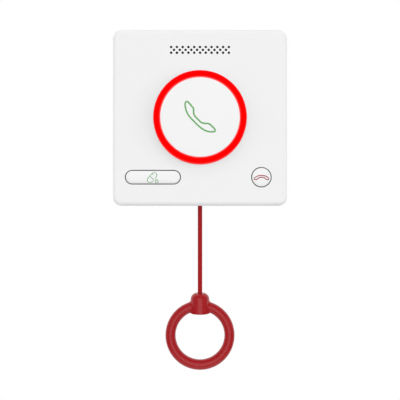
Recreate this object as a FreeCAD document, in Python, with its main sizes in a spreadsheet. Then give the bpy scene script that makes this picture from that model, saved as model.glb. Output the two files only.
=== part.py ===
import FreeCAD, Part
import math
import os
import re

import Sketcher

# Wall-mounted call terminal with a pull cord. Millimetres, +Z up, the wall is the plane y = 0 and
# the room is towards -Y, so "depth" below is a distance from the wall. The origin is the middle of
# the two wall screws, at the centre of the housing.

SIZES = [
    ("plate_width", 120.0, "housing, side to side"),
    ("corner_radius", 6.0, "housing corners seen from the front"),
    ("edge_radius", 3.0, "rounding round the front face"),
    ("face_wall", 2.2, "thickness of the front face"),
    ("side_wall", 2.2, "thickness of the cover's side walls"),
    ("seam_depth", 5.0, "depth of the seam between the two shells"),
    ("rear_inset", 1.0, "rear shell inside the cover's outline"),
    ("rear_floor", 2.4, "thickness of the rear shell's floor"),
    ("lip_wall", 1.6, "thickness of the rear shell's lip"),
    ("lip_reach", 4.0, "lip standing into the cover"),
    ("lip_gap", 0.2, "clearance round the lip"),
    ("screw_spacing", 60.0, "distance between the wall screw slots"),
    ("slot_radius", 2.25, "half the width of a wall screw slot"),
    ("slot_length", 9.0, "wall screw slot, end to end"),
    ("entry_width", 24.0, "cable entry window"),
    ("entry_height", 20.0, "cable entry window"),
    ("entry_drop", 16.0, "cable entry's centre below the wall screws"),
    ("entry_rim", 1.4, "thickness of the rim round the cable entry"),
    ("entry_rim_height", 2.5, "height of the rim round the cable entry"),
    ("entry_corner", 1.4, "corners of the cable entry"),
    ("hook_offset", 30.0, "snap hooks from the middle"),
    ("hook_width", 9.0, "width of a snap hook"),
    ("hook_depth", 1.6, "thickness of a snap hook along the depth"),
    ("hook_reach", 1.0, "snap hook standing out of the lip"),
    ("hook_gap", 0.2, "clearance round a snap hook"),
    ("hook_margin", 1.0, "lip left in front of a snap hook"),
    ("ring_radius", 31.5, "outside of the light ring"),
    ("ring_width", 4.35, "light ring's front, from its bore to its outside"),
    ("ring_rise", 5.5, "light ring standing out of the front face"),
    ("ring_edge", 0.7, "chamfer of the light ring's front edges"),
    ("ring_drop", 0.45, "light ring's centre below the wall screws"),
    ("ring_gap", 0.4, "gap between the cover and the light ring"),
    ("ring_flange", 2.0, "light ring's flange behind the cover"),
    ("ring_flange_depth", 1.5, "thickness of that flange"),
    ("ring_step", 1.35, "step in the ring's bore that holds the button"),
    ("ring_step_depth", 8.5, "that step behind the ring's front"),
    ("lamp_gap", 0.3, "ring's rear end in front of the lamps"),
    ("call_gap", 0.25, "gap between the ring and the call button"),
    ("call_crown", 0.8, "dome of the call button's face"),
    ("call_set_back", 0.3, "call button's edge behind the ring's front"),
    ("call_edge", 0.7, "chamfer of the call button's edge"),
    ("call_wall", 1.8, "wall of the call button"),
    ("call_flange_gap", 0.3, "call button's flange inside the ring's wide bore"),
    ("call_flange_depth", 1.6, "thickness of the call button's flange"),
    ("call_stem_radius", 4.0, "stem behind the call button"),
    ("call_ribs", 6, "ribs behind the call button, a count"),
    ("rib_wall", 1.2, "thickness of a rib"),
    ("rib_height", 3.0, "height of a rib behind the call button"),
    ("medication_width", 38.4, "pill-shaped opening, along"),
    ("medication_height", 10.0, "pill-shaped opening, across"),
    ("medication_inset", 27.8, "pill-shaped opening's middle from the housing's left side"),
    ("hangup_radius", 7.0, "round opening"),
    ("hangup_inset", 18.0, "round opening's middle from the housing's right side"),
    ("button_clearance", 8.95, "middles of the small buttons below the light ring"),
    ("button_gap", 0.5, "gap round a small button"),
    ("button_rise", 1.0, "small button standing out of the face"),
    ("button_edge", 1.3, "rounding of the pill-shaped button"),
    ("button_crown", 0.6, "dome of the round button's face"),
    ("button_flange", 1.8, "flange of a small button past its opening"),
    ("button_flange_depth", 1.2, "thickness of that flange"),
    ("button_wall", 1.5, "wall of the pill-shaped button"),
    ("flange_corner", 2.0, "corners of the round button's square flange"),
    ("guide_gap", 0.3, "clearance between a flange and its guide frame"),
    ("guide_wall", 1.2, "wall of a guide frame"),
    ("guide_depth", 3.0, "guide frame standing behind the face"),
    ("small_stem_radius", 2.2, "stem behind a small button"),
    ("board_thickness", 1.6, "thickness of the board"),
    ("board_margin", 3.8, "board's edges from the cover's inner walls"),
    ("board_foot_margin", 1.0, "board's lower edge from the inner wall"),
    ("board_corner", 3.0, "corners of the board"),
    ("notch_half_width", 16.5, "half the notch for the pull mechanism"),
    ("notch_height", 19.5, "top of that notch above the housing's bottom"),
    ("boss_side_inset", 5.8, "board screws from the cover's inner side walls"),
    ("boss_top_inset", 6.3, "upper board screws from the cover's inner top"),
    ("boss_foot_inset", 4.3, "lower board screws from the cover's inner bottom"),
    ("boss_radius", 3.0, "screw boss"),
    ("pilot_radius", 1.25, "pilot hole in a boss"),
    ("pilot_spare", 0.5, "pilot hole past the end of its screw"),
    ("screw_gap", 0.3, "clearance round a screw in a through hole"),
    ("thread_gap", 0.05, "screw inside its pilot hole"),
    ("screw_head_radius", 2.4, "head of a screw"),
    ("screw_head_depth", 1.5, "height of a screw's head"),
    ("screw_length", 8.0, "screw below its head"),
    ("recess_radius", 0.9, "drive recess in a screw's head"),
    ("recess_depth", 0.8, "depth of the drive recess"),
    ("dome_height", 4.0, "silicone dome"),
    ("dome_wall", 0.9, "wall of a silicone dome"),
    ("dome_foot", 1.4, "foot of a dome past the stem it carries"),
    ("dome_foot_depth", 0.8, "thickness of a dome's foot"),
    ("dome_roof", 1.2, "thickness of a dome's top"),
    ("lamp_count", 12, "lamps under the light ring, a count"),
    ("lamp_side", 2.8, "side of a lamp"),
    ("lamp_height", 1.4, "height of a lamp"),
    ("hole_pitch", 3.95, "grille holes along a row"),
    ("row_pitch", 1.95, "grille rows"),
    ("hole_radius", 0.8, "grille hole"),
    ("row_hole_count", 11, "holes in an outer row, a count"),
    ("grille_wall", 0.9, "face at the grille, thinned from behind"),
    ("grille_rim", 0.5, "thinned face past the outermost holes"),
    ("cloth_thickness", 0.3, "acoustic cloth behind the grille"),
    ("cloth_margin", 2.0, "cloth past the outermost holes"),
    ("cloth_gap", 1.0, "room above and below the cloth"),
    ("speaker_left", 5.0, "loudspeaker left of the middle"),
    ("speaker_radius", 11.0, "loudspeaker"),
    ("speaker_clearance", 2.15, "loudspeaker above the light ring's flange"),
    ("speaker_margin", 1.1, "loudspeaker below the cover's inner top"),
    ("speaker_depth", 5.0, "height of the loudspeaker's frame"),
    ("speaker_wall", 0.8, "wall of the loudspeaker's frame"),
    ("gasket_width", 1.6, "foam gasket, across"),
    ("gasket_depth", 1.2, "foam gasket, along the depth"),
    ("collar_gap", 0.2, "clearance round the loudspeaker"),
    ("collar_wall", 1.2, "collar round the loudspeaker"),
    ("collar_depth", 5.0, "height of that collar"),
    ("magnet_radius", 6.0, "loudspeaker magnet"),
    ("magnet_depth", 3.0, "height of the magnet behind the frame"),
    ("speaker_pad_depth", 2.7, "foam pad between the board and the magnet"),
    ("cone_thickness", 0.35, "loudspeaker cone"),
    ("cone_sink", 2.2, "depth of the cone"),
    ("coil_radius", 3.6, "voice coil and dust cap"),
    ("dust_cap_rise", 1.0, "height of the dust cap"),
    ("dust_cap_top", 2.0, "radius of the dust cap's flat top"),
    ("roll_width", 2.0, "raised edge of the cone"),
    ("roll_rise", 0.6, "height of the raised edge"),
    ("roll_crest", 0.6, "flat crest of the raised edge"),
    ("microphone_right", 14.5, "microphone right of the middle"),
    ("microphone_radius", 3.0, "microphone capsule"),
    ("microphone_height", 2.7, "microphone capsule"),
    ("boot_wall", 1.2, "wall of the rubber boot"),
    ("boot_bore", 1.4, "sound duct in the rubber boot"),
    ("chip_side", 10.0, "side of the processor"),
    ("chip_height", 1.2, "height of the processor"),
    ("chip_clearance", 1.5, "processor left of the light ring's outside"),
    ("terminal_width", 25.4, "terminal block, along"),
    ("terminal_height", 9.0, "terminal block, up and down"),
    ("terminal_depth", 8.0, "terminal block behind the board"),
    ("terminal_clearance", 1.6, "terminal block in front of the rear shell's floor"),
    ("terminal_up", 14.0, "terminal block above the middle"),
    ("terminal_ways", 5, "ways of the terminal block, a count"),
    ("wire_radius", 1.3, "wire hole of a terminal"),
    ("wire_inset", 2.7, "wire hole's axis behind the board"),
    ("wire_reach", 4.5, "depth of a wire hole"),
    ("clamp_radius", 1.7, "clamping screw's hole in a terminal"),
    ("clamp_depth", 2.7, "depth of that hole"),
    ("cord_depth", 14.0, "cord's axis from the wall"),
    ("cord_radius", 1.6, "pull cord"),
    ("visible_cord", 62.1, "cord between the housing and the ring's hub"),
    ("bush_radius", 5.4, "bush in the bottom wall"),
    ("bush_bore", 3.9, "bore of the bush"),
    ("bush_mouth", 1.0, "flare of the bush's mouth"),
    ("bush_flange", 1.6, "flange of the bush past its body"),
    ("bush_flange_depth", 1.0, "thickness of that flange"),
    ("bush_gap", 0.05, "clearance of the bush in the wall"),
    ("guide_floor", 1.5, "floor of the spring guide"),
    ("guide_bore", 6.3, "bore of the spring guide"),
    ("guide_tube_wall", 1.5, "wall of the spring guide"),
    ("guide_rim_drop", 0.5, "guide's rim below the slider's top"),
    ("ear_half_width", 14.5, "half the width across the guide's ears"),
    ("ear_depth", 2.5, "thickness of the guide's ears"),
    ("ear_height", 8.0, "height of the guide's ears"),
    ("ear_screw_side", 11.5, "guide screws from the middle"),
    ("ear_screw_up", 8.5, "guide screws above the bottom edge"),
    ("guide_boss_radius", 2.6, "boss for a guide screw"),
    ("spring_length", 9.8, "pull spring as fitted"),
    ("spring_radius", 5.0, "pull spring, middle of the wire"),
    ("spring_wire", 0.4, "radius of the spring wire"),
    ("spring_turns", 3.5, "turns of the pull spring, a count"),
    ("wire_sides", 6, "sides that the round spring wire is drawn with, a count"),
    ("slider_flange", 6.0, "radius of the slider's flange"),
    ("slider_flange_depth", 1.5, "thickness of the slider's flange"),
    ("slider_radius", 3.7, "slider's stem"),
    ("slider_foot", 4.1, "slider's lower end above the bottom edge"),
    ("pivot_height", 7.3, "ball's centre above the bottom edge"),
    ("ball_radius", 2.6, "ball on the cord's upper end"),
    ("ball_flat", 1.9, "flat under the ball, below its centre"),
    ("ball_gap", 0.1, "clearance of the ball in its socket"),
    ("socket_mouth", 2.15, "mouth of the ball's socket"),
    ("socket_flare", 0.7, "flare below the socket's mouth"),
    ("switch_width", 12.8, "pull switch"),
    ("switch_height", 6.5, "pull switch"),
    ("switch_depth", 6.4, "pull switch in front of the board"),
    ("pin_radius", 0.8, "pull switch's pin"),
    ("pin_reach", 0.6, "pin standing out of the pull switch"),
    ("pin_forward", 4.4, "pin in front of the board"),
    ("hub_radius", 6.6, "ring's hub"),
    ("hub_top_radius", 4.2, "hub at its top"),
    ("hub_height", 14.0, "hub, top to bottom"),
    ("hub_shoulder", 4.2, "height of the hub's rounded shoulder"),
    ("shoulder_radius", 4.4, "rounding of that shoulder"),
    ("hub_edge", 0.3, "chamfer of the hub's top edge"),
    ("overcut", 1.0, "a cutting profile past the face that it opens"),
    ("hub_blend", 2.4, "fillet between the hub and the ring"),
    ("hub_drop", 1.6, "hub's lower end below the ring's inside"),
    ("hub_roof", 5.4, "hub above the knot's chamber"),
    ("hub_gap", 0.25, "clearance of the cord in the hub"),
    ("chamber_radius", 3.4, "chamber for the knot"),
    ("knot_radius", 2.9, "knot"),
    ("knot_top_radius", 1.9, "top of the knot"),
    ("knot_height", 5.0, "knot, top to bottom"),
    ("knot_waist", 2.2, "widest stretch of the knot"),
    ("knot_gap", 0.1, "clearance above the knot"),
    ("pull_radius", 20.9, "pull ring, to the middle of its section"),
    ("pull_section", 3.6, "radius of the pull ring's section"),
    ("closing_side", 38.0, "closing screws from the middle"),
    ("closing_depth", 8.0, "closing screws from the wall"),
    ("block_half_width", 4.5, "half the width of a closing screw's block"),
    ("block_wall", 1.6, "block's wall in front of a closing screw"),
    ("block_height", 8.0, "height of a closing screw's block"),
    ("closing_head_depth", 1.3, "head of a closing screw, sunk flush"),
    ("closing_head_radius", 2.7, "head of a closing screw"),
    ("closing_radius", 1.4, "closing screw's shank"),
    ("closing_length", 6.5, "closing screw below its head"),
    ("closing_spare", 0.2, "pilot hole past the end of a closing screw"),
]

doc = FreeCAD.newDocument("call_terminal")
sheet = doc.addObject("Spreadsheet::Sheet", "sizes")
for row, (alias, size, note) in enumerate(SIZES, 1):
    sheet.set(f"A{row}", note)
    sheet.set(f"B{row}", str(size))
    sheet.setAlias(f"B{row}", alias)
doc.recompute()
ALIASES = {alias for alias, size, note in SIZES}

# Levels worked out from the sizes: depths from the wall, and heights from the middle
GRILLE_UP = "(ring_radius - ring_drop + ring_flange + speaker_clearance + speaker_radius)"
HALF_HEIGHT = f"({GRILLE_UP} + speaker_radius + speaker_margin + side_wall)"
RING_BORE = "(ring_radius - ring_width)"
MEDICATION_LEFT = "(plate_width / 2 - medication_inset)"
HANGUP_RIGHT = "(plate_width / 2 - hangup_inset)"
BUTTON_DROP = "(ring_radius + ring_drop + button_clearance)"
BOSS_SIDE = "(plate_width / 2 - side_wall - boss_side_inset)"
BOSS_UP = f"({HALF_HEIGHT} - side_wall - boss_top_inset)"
BOSS_DOWN = f"({HALF_HEIGHT} - side_wall - boss_foot_inset)"
BOARD_REAR = "(rear_floor + terminal_clearance + terminal_depth)"
BOARD_DEPTH = f"({BOARD_REAR} + board_thickness)"
SPEAKER_REAR = f"({BOARD_DEPTH} + speaker_pad_depth + magnet_depth)"
GASKET_REAR = f"({SPEAKER_REAR} + speaker_depth)"
CLOTH_REAR = f"({GASKET_REAR} + gasket_depth)"
FACE_INNER = f"({CLOTH_REAR} + cloth_thickness)"
PLATE_DEPTH = f"({FACE_INNER} + face_wall)"
RING_FRONT = f"({PLATE_DEPTH} + ring_rise)"
RING_STEP = f"({RING_FRONT} - ring_step_depth)"
DOME_TOP = f"({BOARD_DEPTH} + dome_height)"
CLOTH_HALF_HEIGHT = "(row_pitch + cloth_margin)"
BUTTON_FLANGE_REAR = f"({FACE_INNER} - button_flange_depth)"
BOTTOM = f"(-{HALF_HEIGHT})"
INNER_BOTTOM = f"(side_wall - {HALF_HEIGHT})"
INNER_TOP = f"({HALF_HEIGHT} - side_wall)"
LIP_HALF_WIDTH = "(plate_width / 2 - side_wall - lip_gap)"
LIP_HALF_HEIGHT = f"({HALF_HEIGHT} - side_wall - lip_gap)"
GUIDE_BASE = f"({INNER_BOTTOM} + bush_flange_depth)"
SPRING_SEAT = f"({GUIDE_BASE} + guide_floor)"
SLIDER_FLANGE_BASE = f"({SPRING_SEAT} + spring_length)"
SLIDER_TOP = f"({SLIDER_FLANGE_BASE} + slider_flange_depth)"
SLIDER_FOOT = f"({BOTTOM} + slider_foot)"
PIVOT = f"({BOTTOM} + pivot_height)"
SOCKET_RADIUS = "(ball_radius + ball_gap)"
CORD_TOP = f"({PIVOT} - ball_flat)"
HUB_TOP = f"({BOTTOM} - visible_cord)"
HUB_BOTTOM = f"({HUB_TOP} - hub_height)"
CHAMBER_TOP = f"({HUB_TOP} - hub_roof)"
CORD_END = f"({CHAMBER_TOP} - knot_gap)"
RING_CENTRE = f"({HUB_BOTTOM} + hub_drop - pull_radius + pull_section)"
EAR_SCREW = f"({BOTTOM} + ear_screw_up)"
EAR_FRONT = "(cord_depth + ear_depth)"
HOOK_CENTRE = "(seam_depth + lip_reach - hook_margin - hook_depth / 2)"
BOARD_SCREWS = [(f"{side}{BOSS_SIDE}", level) for side in ("", "-") for level in (BOSS_UP, f"-{BOSS_DOWN}")]
EAR_SCREWS = [(f"{side}ear_screw_side", EAR_SCREW) for side in ("", "-")]


def value(text):
    """The number that a text of sizes comes to."""
    return float(sheet.evalExpression(str(text)))


def bound(text):
    """The same text with each size read from the sheet."""
    return re.sub(r"[a-z_]+", lambda m: f"sizes.{m[0]}" if m[0] in ALIASES else m[0], str(text))


def bind(thing, **sizes):
    """Tie properties of an object to sizes."""
    for name, text in sizes.items():
        thing.setExpression(name.replace("__", "."), bound(text))


def place(thing, x="0", y="0", z="0"):
    bind(thing, Placement__Base__x=x, Placement__Base__y=y, Placement__Base__z=z)


def new_body(label, x="0", y="0", z="0"):
    body = doc.addObject("PartDesign::Body", label)
    body.Label = label
    place(body, x, y, z)
    return body


def new_sketch(body, name, plane, offset="0"):
    """A sketch on one of the body's own planes, shifted along that plane's normal."""
    drawing = body.newObject("Sketcher::SketchObject", name)
    base = next(item for item in body.Origin.OriginFeatures if item.Role == plane)
    drawing.AttachmentSupport = [(base, "")]
    drawing.MapMode = "FlatFace"
    bind(drawing, AttachmentOffset__Base__z=offset)
    return drawing


def hold(drawing, constraint, text):
    number = drawing.addConstraint(constraint)
    drawing.setExpression(f"Constraints[{number}]", bound(text))


def hold_point(drawing, item, end, x, y):
    """Hold one end of a sketch item at a place worked out from the sizes."""
    if value(x) == 0:
        drawing.addConstraint(Sketcher.Constraint("PointOnObject", item, end, -2))
    else:
        hold(drawing, Sketcher.Constraint("DistanceX", -1, 1, item, end, value(x)), x)
    if value(y) == 0:
        drawing.addConstraint(Sketcher.Constraint("PointOnObject", item, end, -1))
    else:
        hold(drawing, Sketcher.Constraint("DistanceY", -1, 1, item, end, value(y)), y)


def draw_circle(drawing, x, y, radius):
    centre = FreeCAD.Vector(value(x), value(y), 0)
    item = drawing.addGeometry(Part.Circle(centre, FreeCAD.Vector(0, 0, 1), value(radius)), False)
    hold_point(drawing, item, 3, x, y)
    hold(drawing, Sketcher.Constraint("Radius", item, value(radius)), radius)


def draw_outline(drawing, steps):
    """A closed outline. A step is (x, y), or (x, y, radius, side) for an arc that ends there.

    The side is 1 where the arc bulges to the left of the way it is drawn and -1 to the right.
    """
    points = [FreeCAD.Vector(value(step[0]), value(step[1]), 0) for step in steps]
    items = []
    for number, step in enumerate(steps):
        start, end = points[number - 1], points[number]
        if len(step) == 2:
            shape = Part.LineSegment(start, end)
        else:
            chord = end - start
            radius = value(step[2])
            rise = radius - math.sqrt(radius**2 - (chord.Length / 2) ** 2)
            side = FreeCAD.Vector(-chord.y, chord.x, 0).normalize() * rise * step[3]
            shape = Part.Arc(start, (start + end) / 2 + side, end)
        item = drawing.addGeometry(shape, False)
        starts_first = (drawing.getPoint(item, 1) - start).Length < 1e-6
        items.append((item, 1 if starts_first else 2, 2 if starts_first else 1))
        if len(step) == 4:
            hold(drawing, Sketcher.Constraint("Radius", item, radius), step[2])
    for number, (item, first, last) in enumerate(items):
        following = items[(number + 1) % len(items)]
        drawing.addConstraint(Sketcher.Constraint("Coincident", item, last, following[0], following[1]))
        hold_point(drawing, item, last, steps[number][0], steps[number][1])


def join_tangent(drawing, ends):
    for (item, end), (other, other_end) in ends:
        drawing.addConstraint(Sketcher.Constraint("Tangent", item, end, other, other_end))


def draw_rounded_box(drawing, x, y, half_width, half_height, radius):
    """A rectangle with rounded corners round a centre."""
    near_x, near_y, reach = value(x), value(y), value(radius)
    wide, high = value(half_width), value(half_height)
    corners = [(1, 1, 0), (-1, 1, 90), (-1, -1, 180), (1, -1, 270)]
    arcs = []
    for side, level, turn in corners:
        centre = FreeCAD.Vector(near_x + side * (wide - reach), near_y + level * (high - reach), 0)
        ring = Part.Circle(centre, FreeCAD.Vector(0, 0, 1), reach)
        turned = Part.ArcOfCircle(ring, math.radians(turn), math.radians(turn + 90))
        arcs.append(drawing.addGeometry(turned, False))
    lines = []
    for number, arc in enumerate(arcs):
        start = drawing.getPoint(arc, 2)
        end = drawing.getPoint(arcs[(number + 1) % 4], 1)
        lines.append(drawing.addGeometry(Part.LineSegment(start, end), False))
    for number, line in enumerate(lines):
        arc, following = arcs[number], arcs[(number + 1) % 4]
        join_tangent(drawing, [((arc, 2), (line, 1)), ((line, 2), (following, 1))])
    for arc, (side, level, turn) in zip(arcs, corners):
        centre_x = f"{x} + ({side}) * ({half_width} - ({radius}))"
        centre_y = f"{y} + ({level}) * ({half_height} - ({radius}))"
        hold_point(drawing, arc, 3, centre_x, centre_y)
    hold(drawing, Sketcher.Constraint("Radius", arcs[0], reach), radius)


def draw_pill(drawing, x, y, half_width, radius):
    """A long hole's outline: two half circles joined by straight sides."""
    middle, level, reach = value(x), value(y), value(radius)
    half_run = value(half_width) - reach
    arcs = []
    for side, turn in ((1, -90), (-1, 90)):
        centre = FreeCAD.Vector(middle + side * half_run, level, 0)
        ring = Part.Circle(centre, FreeCAD.Vector(0, 0, 1), reach)
        turned = Part.ArcOfCircle(ring, math.radians(turn), math.radians(turn + 180))
        arcs.append(drawing.addGeometry(turned, False))
    for arc, other in ((arcs[0], arcs[1]), (arcs[1], arcs[0])):
        start, end = drawing.getPoint(arc, 2), drawing.getPoint(other, 1)
        line = drawing.addGeometry(Part.LineSegment(start, end), False)
        join_tangent(drawing, [((arc, 2), (line, 1)), ((line, 2), (other, 1))])
    for arc, side in zip(arcs, (1, -1)):
        hold_point(drawing, arc, 3, f"{x} + ({side}) * ({half_width} - ({radius}))", y)
    hold(drawing, Sketcher.Constraint("Radius", arcs[0], reach), radius)
    drawing.addConstraint(Sketcher.Constraint("Equal", arcs[0], arcs[1]))


def pad(body, drawing, length):
    """Add material from the sketch along its normal: forward for a sketch parallel to the wall."""
    feature = body.newObject("PartDesign::Pad", drawing.Name + "_pad")
    feature.Profile = drawing
    bind(feature, Length=length)
    body.Tip = feature
    doc.recompute()
    return feature


def pocket(body, drawing, length):
    """Cut from the sketch along its normal, and make sure that the cut took something away."""
    before = body.Shape.Volume
    feature = body.newObject("PartDesign::Pocket", drawing.Name + "_pocket")
    feature.Profile = drawing
    feature.Reversed = True
    bind(feature, Length=length)
    body.Tip = feature
    doc.recompute()
    if not body.Shape.Volume < before:
        raise RuntimeError(f"{feature.Name} takes nothing away")
    return feature


def turn(body, drawing, kind="PartDesign::Revolution"):
    """Turn a profile a whole round about the sketch's upright axis."""
    feature = body.newObject(kind, drawing.Name + "_turned")
    feature.Profile = drawing
    feature.ReferenceAxis = (drawing, ["V_Axis"])
    feature.Angle = 360
    body.Tip = feature
    doc.recompute()
    return feature


def fillet(body, radius, wanted):
    """Round the edges of the body that the test picks."""
    base = body.Tip
    names = [f"Edge{n}" for n, edge in enumerate(base.Shape.Edges, 1) if wanted(edge)]
    feature = body.newObject("PartDesign::Fillet", body.Name + "_fillet")
    feature.Base = (base, names)
    bind(feature, Radius=radius)
    body.Tip = feature
    doc.recompute()
    return feature


def lies_at_depth(depth):
    """A test for edges that lie wholly in the plane at a depth."""
    level = -value(depth)
    return lambda edge: abs(edge.BoundBox.YMin - level) < 1e-4 and abs(edge.BoundBox.YMax - level) < 1e-4


def turned_forward(label, steps, x="0", z="0"):
    """A body turned about an axis that points out of the wall, from steps of (radius, depth)."""
    body = new_body(label, x=x, z=z)
    drawing = new_sketch(body, label + "_profile", "XY_Plane")
    draw_outline(drawing, [(step[0], f"-({step[1]})", *step[2:]) for step in steps])
    turn(body, drawing)
    return body


def turned_upright(label, steps):
    """A body turned about the cord's axis, from steps of (radius, height)."""
    body = new_body(label, y="-cord_depth")
    drawing = new_sketch(body, label + "_profile", "XZ_Plane")
    draw_outline(drawing, steps)
    turn(body, drawing)
    return body


def primitive(kind, name, x="0", y="0", z="0", **sizes):
    thing = doc.addObject(kind, name)
    bind(thing, **sizes)
    place(thing, x, y, z)
    return thing


def point_forward(cylinder):
    """Lay a cylinder so that it runs from its base out of the wall."""
    bind(cylinder, Placement__Rotation__Axis__x="1", Placement__Rotation__Axis__y="0")
    bind(cylinder, Placement__Rotation__Axis__z="0", Placement__Rotation__Angle="90")
    return cylinder


def combine(kind, label, base, tools):
    """Cut, fuse or gather plain solids into one labelled object."""
    result = doc.addObject(kind, label)
    if kind == "Part::Cut":
        result.Base = base
        result.Tool = tools
    elif kind == "Part::MultiFuse":
        result.Shapes = [base, *tools]
    else:
        result.Links = [base, *tools]
    result.Label = label
    return result


# Housing shells


def make_front_cover():
    body = new_body("front_cover")
    outline = new_sketch(body, "cover_outline", "XZ_Plane", "seam_depth")
    draw_rounded_box(outline, "0", "0", "plate_width / 2", HALF_HEIGHT, "corner_radius")
    pad(body, outline, f"{PLATE_DEPTH} - seam_depth")
    fillet(body, "edge_radius", lies_at_depth(PLATE_DEPTH))

    hollow = new_sketch(body, "cover_hollow", "XZ_Plane", "seam_depth")
    inner = ("plate_width / 2 - side_wall", INNER_TOP, "corner_radius - side_wall")
    draw_rounded_box(hollow, "0", "0", *inner)
    pocket(body, hollow, f"{FACE_INNER} - seam_depth")

    openings = new_sketch(body, "cover_openings", "XZ_Plane", FACE_INNER)
    draw_circle(openings, "0", "-ring_drop", "ring_radius + ring_gap")
    low = f"-{BUTTON_DROP}"
    draw_pill(openings, f"-{MEDICATION_LEFT}", low, "medication_width / 2", "medication_height / 2")
    draw_circle(openings, HANGUP_RIGHT, low, "hangup_radius")
    pocket(body, openings, "face_wall")

    bosses = new_sketch(body, "cover_bosses", "XZ_Plane", BOARD_DEPTH)
    for x, z in BOARD_SCREWS:
        draw_circle(bosses, x, z, "boss_radius")
    pad(body, bosses, f"{FACE_INNER} - {BOARD_DEPTH}")
    guide_bosses = new_sketch(body, "cover_guide_bosses", "XZ_Plane", EAR_FRONT)
    for x, z in EAR_SCREWS:
        draw_circle(guide_bosses, x, z, "guide_boss_radius")
    pad(body, guide_bosses, f"{FACE_INNER} - {EAR_FRONT}")

    collar = new_sketch(body, "cover_collar", "XZ_Plane", f"{FACE_INNER} - collar_depth")
    collar_outer = "(speaker_radius + collar_gap + collar_wall)"
    draw_circle(collar, "-speaker_left", GRILLE_UP, collar_outer)
    draw_circle(collar, "-speaker_left", GRILLE_UP, f"{collar_outer} - collar_wall")
    pad(body, collar, "collar_depth")
    band = new_sketch(body, "cover_collar_band", "XZ_Plane", f"{FACE_INNER} - collar_depth")
    half_band = f"({CLOTH_HALF_HEIGHT} + cloth_gap)"
    left, right = f"-speaker_left - {collar_outer} - overcut", f"{collar_outer} - speaker_left + overcut"
    draw_outline(band, [
        (left, f"{GRILLE_UP} - {half_band}"),
        (right, f"{GRILLE_UP} - {half_band}"),
        (right, f"{GRILLE_UP} + {half_band}"),
        (left, f"{GRILLE_UP} + {half_band}"),
    ])
    pocket(body, band, "collar_depth")

    frames = new_sketch(body, "cover_guide_frames", "XZ_Plane", f"{FACE_INNER} - guide_depth")
    for growth in ("guide_gap", "guide_gap + guide_wall"):
        pill_radius = f"(medication_height / 2 + button_flange + {growth})"
        pill_half = f"(medication_width / 2 + button_flange + {growth})"
        draw_pill(frames, f"-{MEDICATION_LEFT}", low, pill_half, pill_radius)
        square = f"(hangup_radius + button_flange + {growth})"
        corner = f"(flange_corner + {growth})"
        draw_rounded_box(frames, HANGUP_RIGHT, low, square, square, corner)
    pad(body, frames, "guide_depth")

    pilots = new_sketch(body, "cover_pilots", "XZ_Plane", BOARD_DEPTH)
    for x, z in BOARD_SCREWS:
        draw_circle(pilots, x, z, "pilot_radius")
    pocket(body, pilots, "screw_length - board_thickness + pilot_spare")
    guide_pilots = new_sketch(body, "cover_guide_pilots", "XZ_Plane", EAR_FRONT)
    for x, z in EAR_SCREWS:
        draw_circle(guide_pilots, x, z, "pilot_radius")
    pocket(body, guide_pilots, "screw_length - ear_depth + pilot_spare")

    thinned = new_sketch(body, "cover_grille_recess", "XZ_Plane", FACE_INNER)
    half_width = "((row_hole_count - 1) * hole_pitch / 2 + hole_radius + grille_rim)"
    half_height, corner = "(row_pitch + hole_radius + grille_rim)", "(hole_radius + grille_rim)"
    draw_rounded_box(thinned, "0", GRILLE_UP, half_width, half_height, corner)
    pocket(body, thinned, "face_wall - grille_wall")
    cut_grille(body)

    mouth = new_sketch(body, "cover_cord_hole", "XY_Plane", BOTTOM)
    draw_circle(mouth, "0", "-cord_depth", "bush_radius + bush_gap")
    pocket(body, mouth, "side_wall")
    heads = new_sketch(body, "cover_screw_seats", "XY_Plane", BOTTOM)
    shanks = new_sketch(body, "cover_screw_holes", "XY_Plane", BOTTOM)
    for side in ("", "-"):
        draw_circle(heads, f"{side}closing_side", "-closing_depth", "closing_head_radius + thread_gap")
        draw_circle(shanks, f"{side}closing_side", "-closing_depth", "closing_radius + screw_gap")
    pocket(body, heads, "closing_head_depth")
    pocket(body, shanks, "side_wall")

    catches = new_sketch(body, "cover_catches", "XY_Plane", INNER_TOP)
    for side in (1, -1):
        draw_catch(catches, side, "hook_gap")
    pocket(body, catches, "hook_reach - lip_gap + hook_gap")
    return body


def draw_catch(drawing, side, growth):
    """A snap hook's outline, or with a clearance the recess that it drops into."""
    half_width = f"(hook_width / 2 + {growth})"
    half_depth = f"(hook_depth / 2 + {growth})"
    left, right = f"({side}) * hook_offset - {half_width}", f"({side}) * hook_offset + {half_width}"
    rear, front = f"-({HOOK_CENTRE} - {half_depth})", f"-({HOOK_CENTRE} + {half_depth})"
    draw_outline(drawing, [(left, front), (right, front), (right, rear), (left, rear)])


def cut_grille(body):
    """Three rows of holes; the middle row has one hole fewer and sits half a pitch in."""
    for row, missing in ((-1, 0), (0, 1), (1, 0)):
        drawing = new_sketch(body, f"grille_row_{row + 2}", "XZ_Plane", FACE_INNER)
        run = f"(row_hole_count - 1 - {missing}) * hole_pitch"
        draw_circle(drawing, f"-{run} / 2", f"{GRILLE_UP} + ({row}) * row_pitch", "hole_radius")
        hole = pocket(body, drawing, "face_wall")
        pattern = body.newObject("PartDesign::LinearPattern", f"grille_row_{row + 2}_pattern")
        pattern.Originals = [hole]
        pattern.Direction = (drawing, ["H_Axis"])
        bind(pattern, Length=run, Occurrences=f"row_hole_count - {missing}")
        body.Tip = pattern
        doc.recompute()


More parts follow.
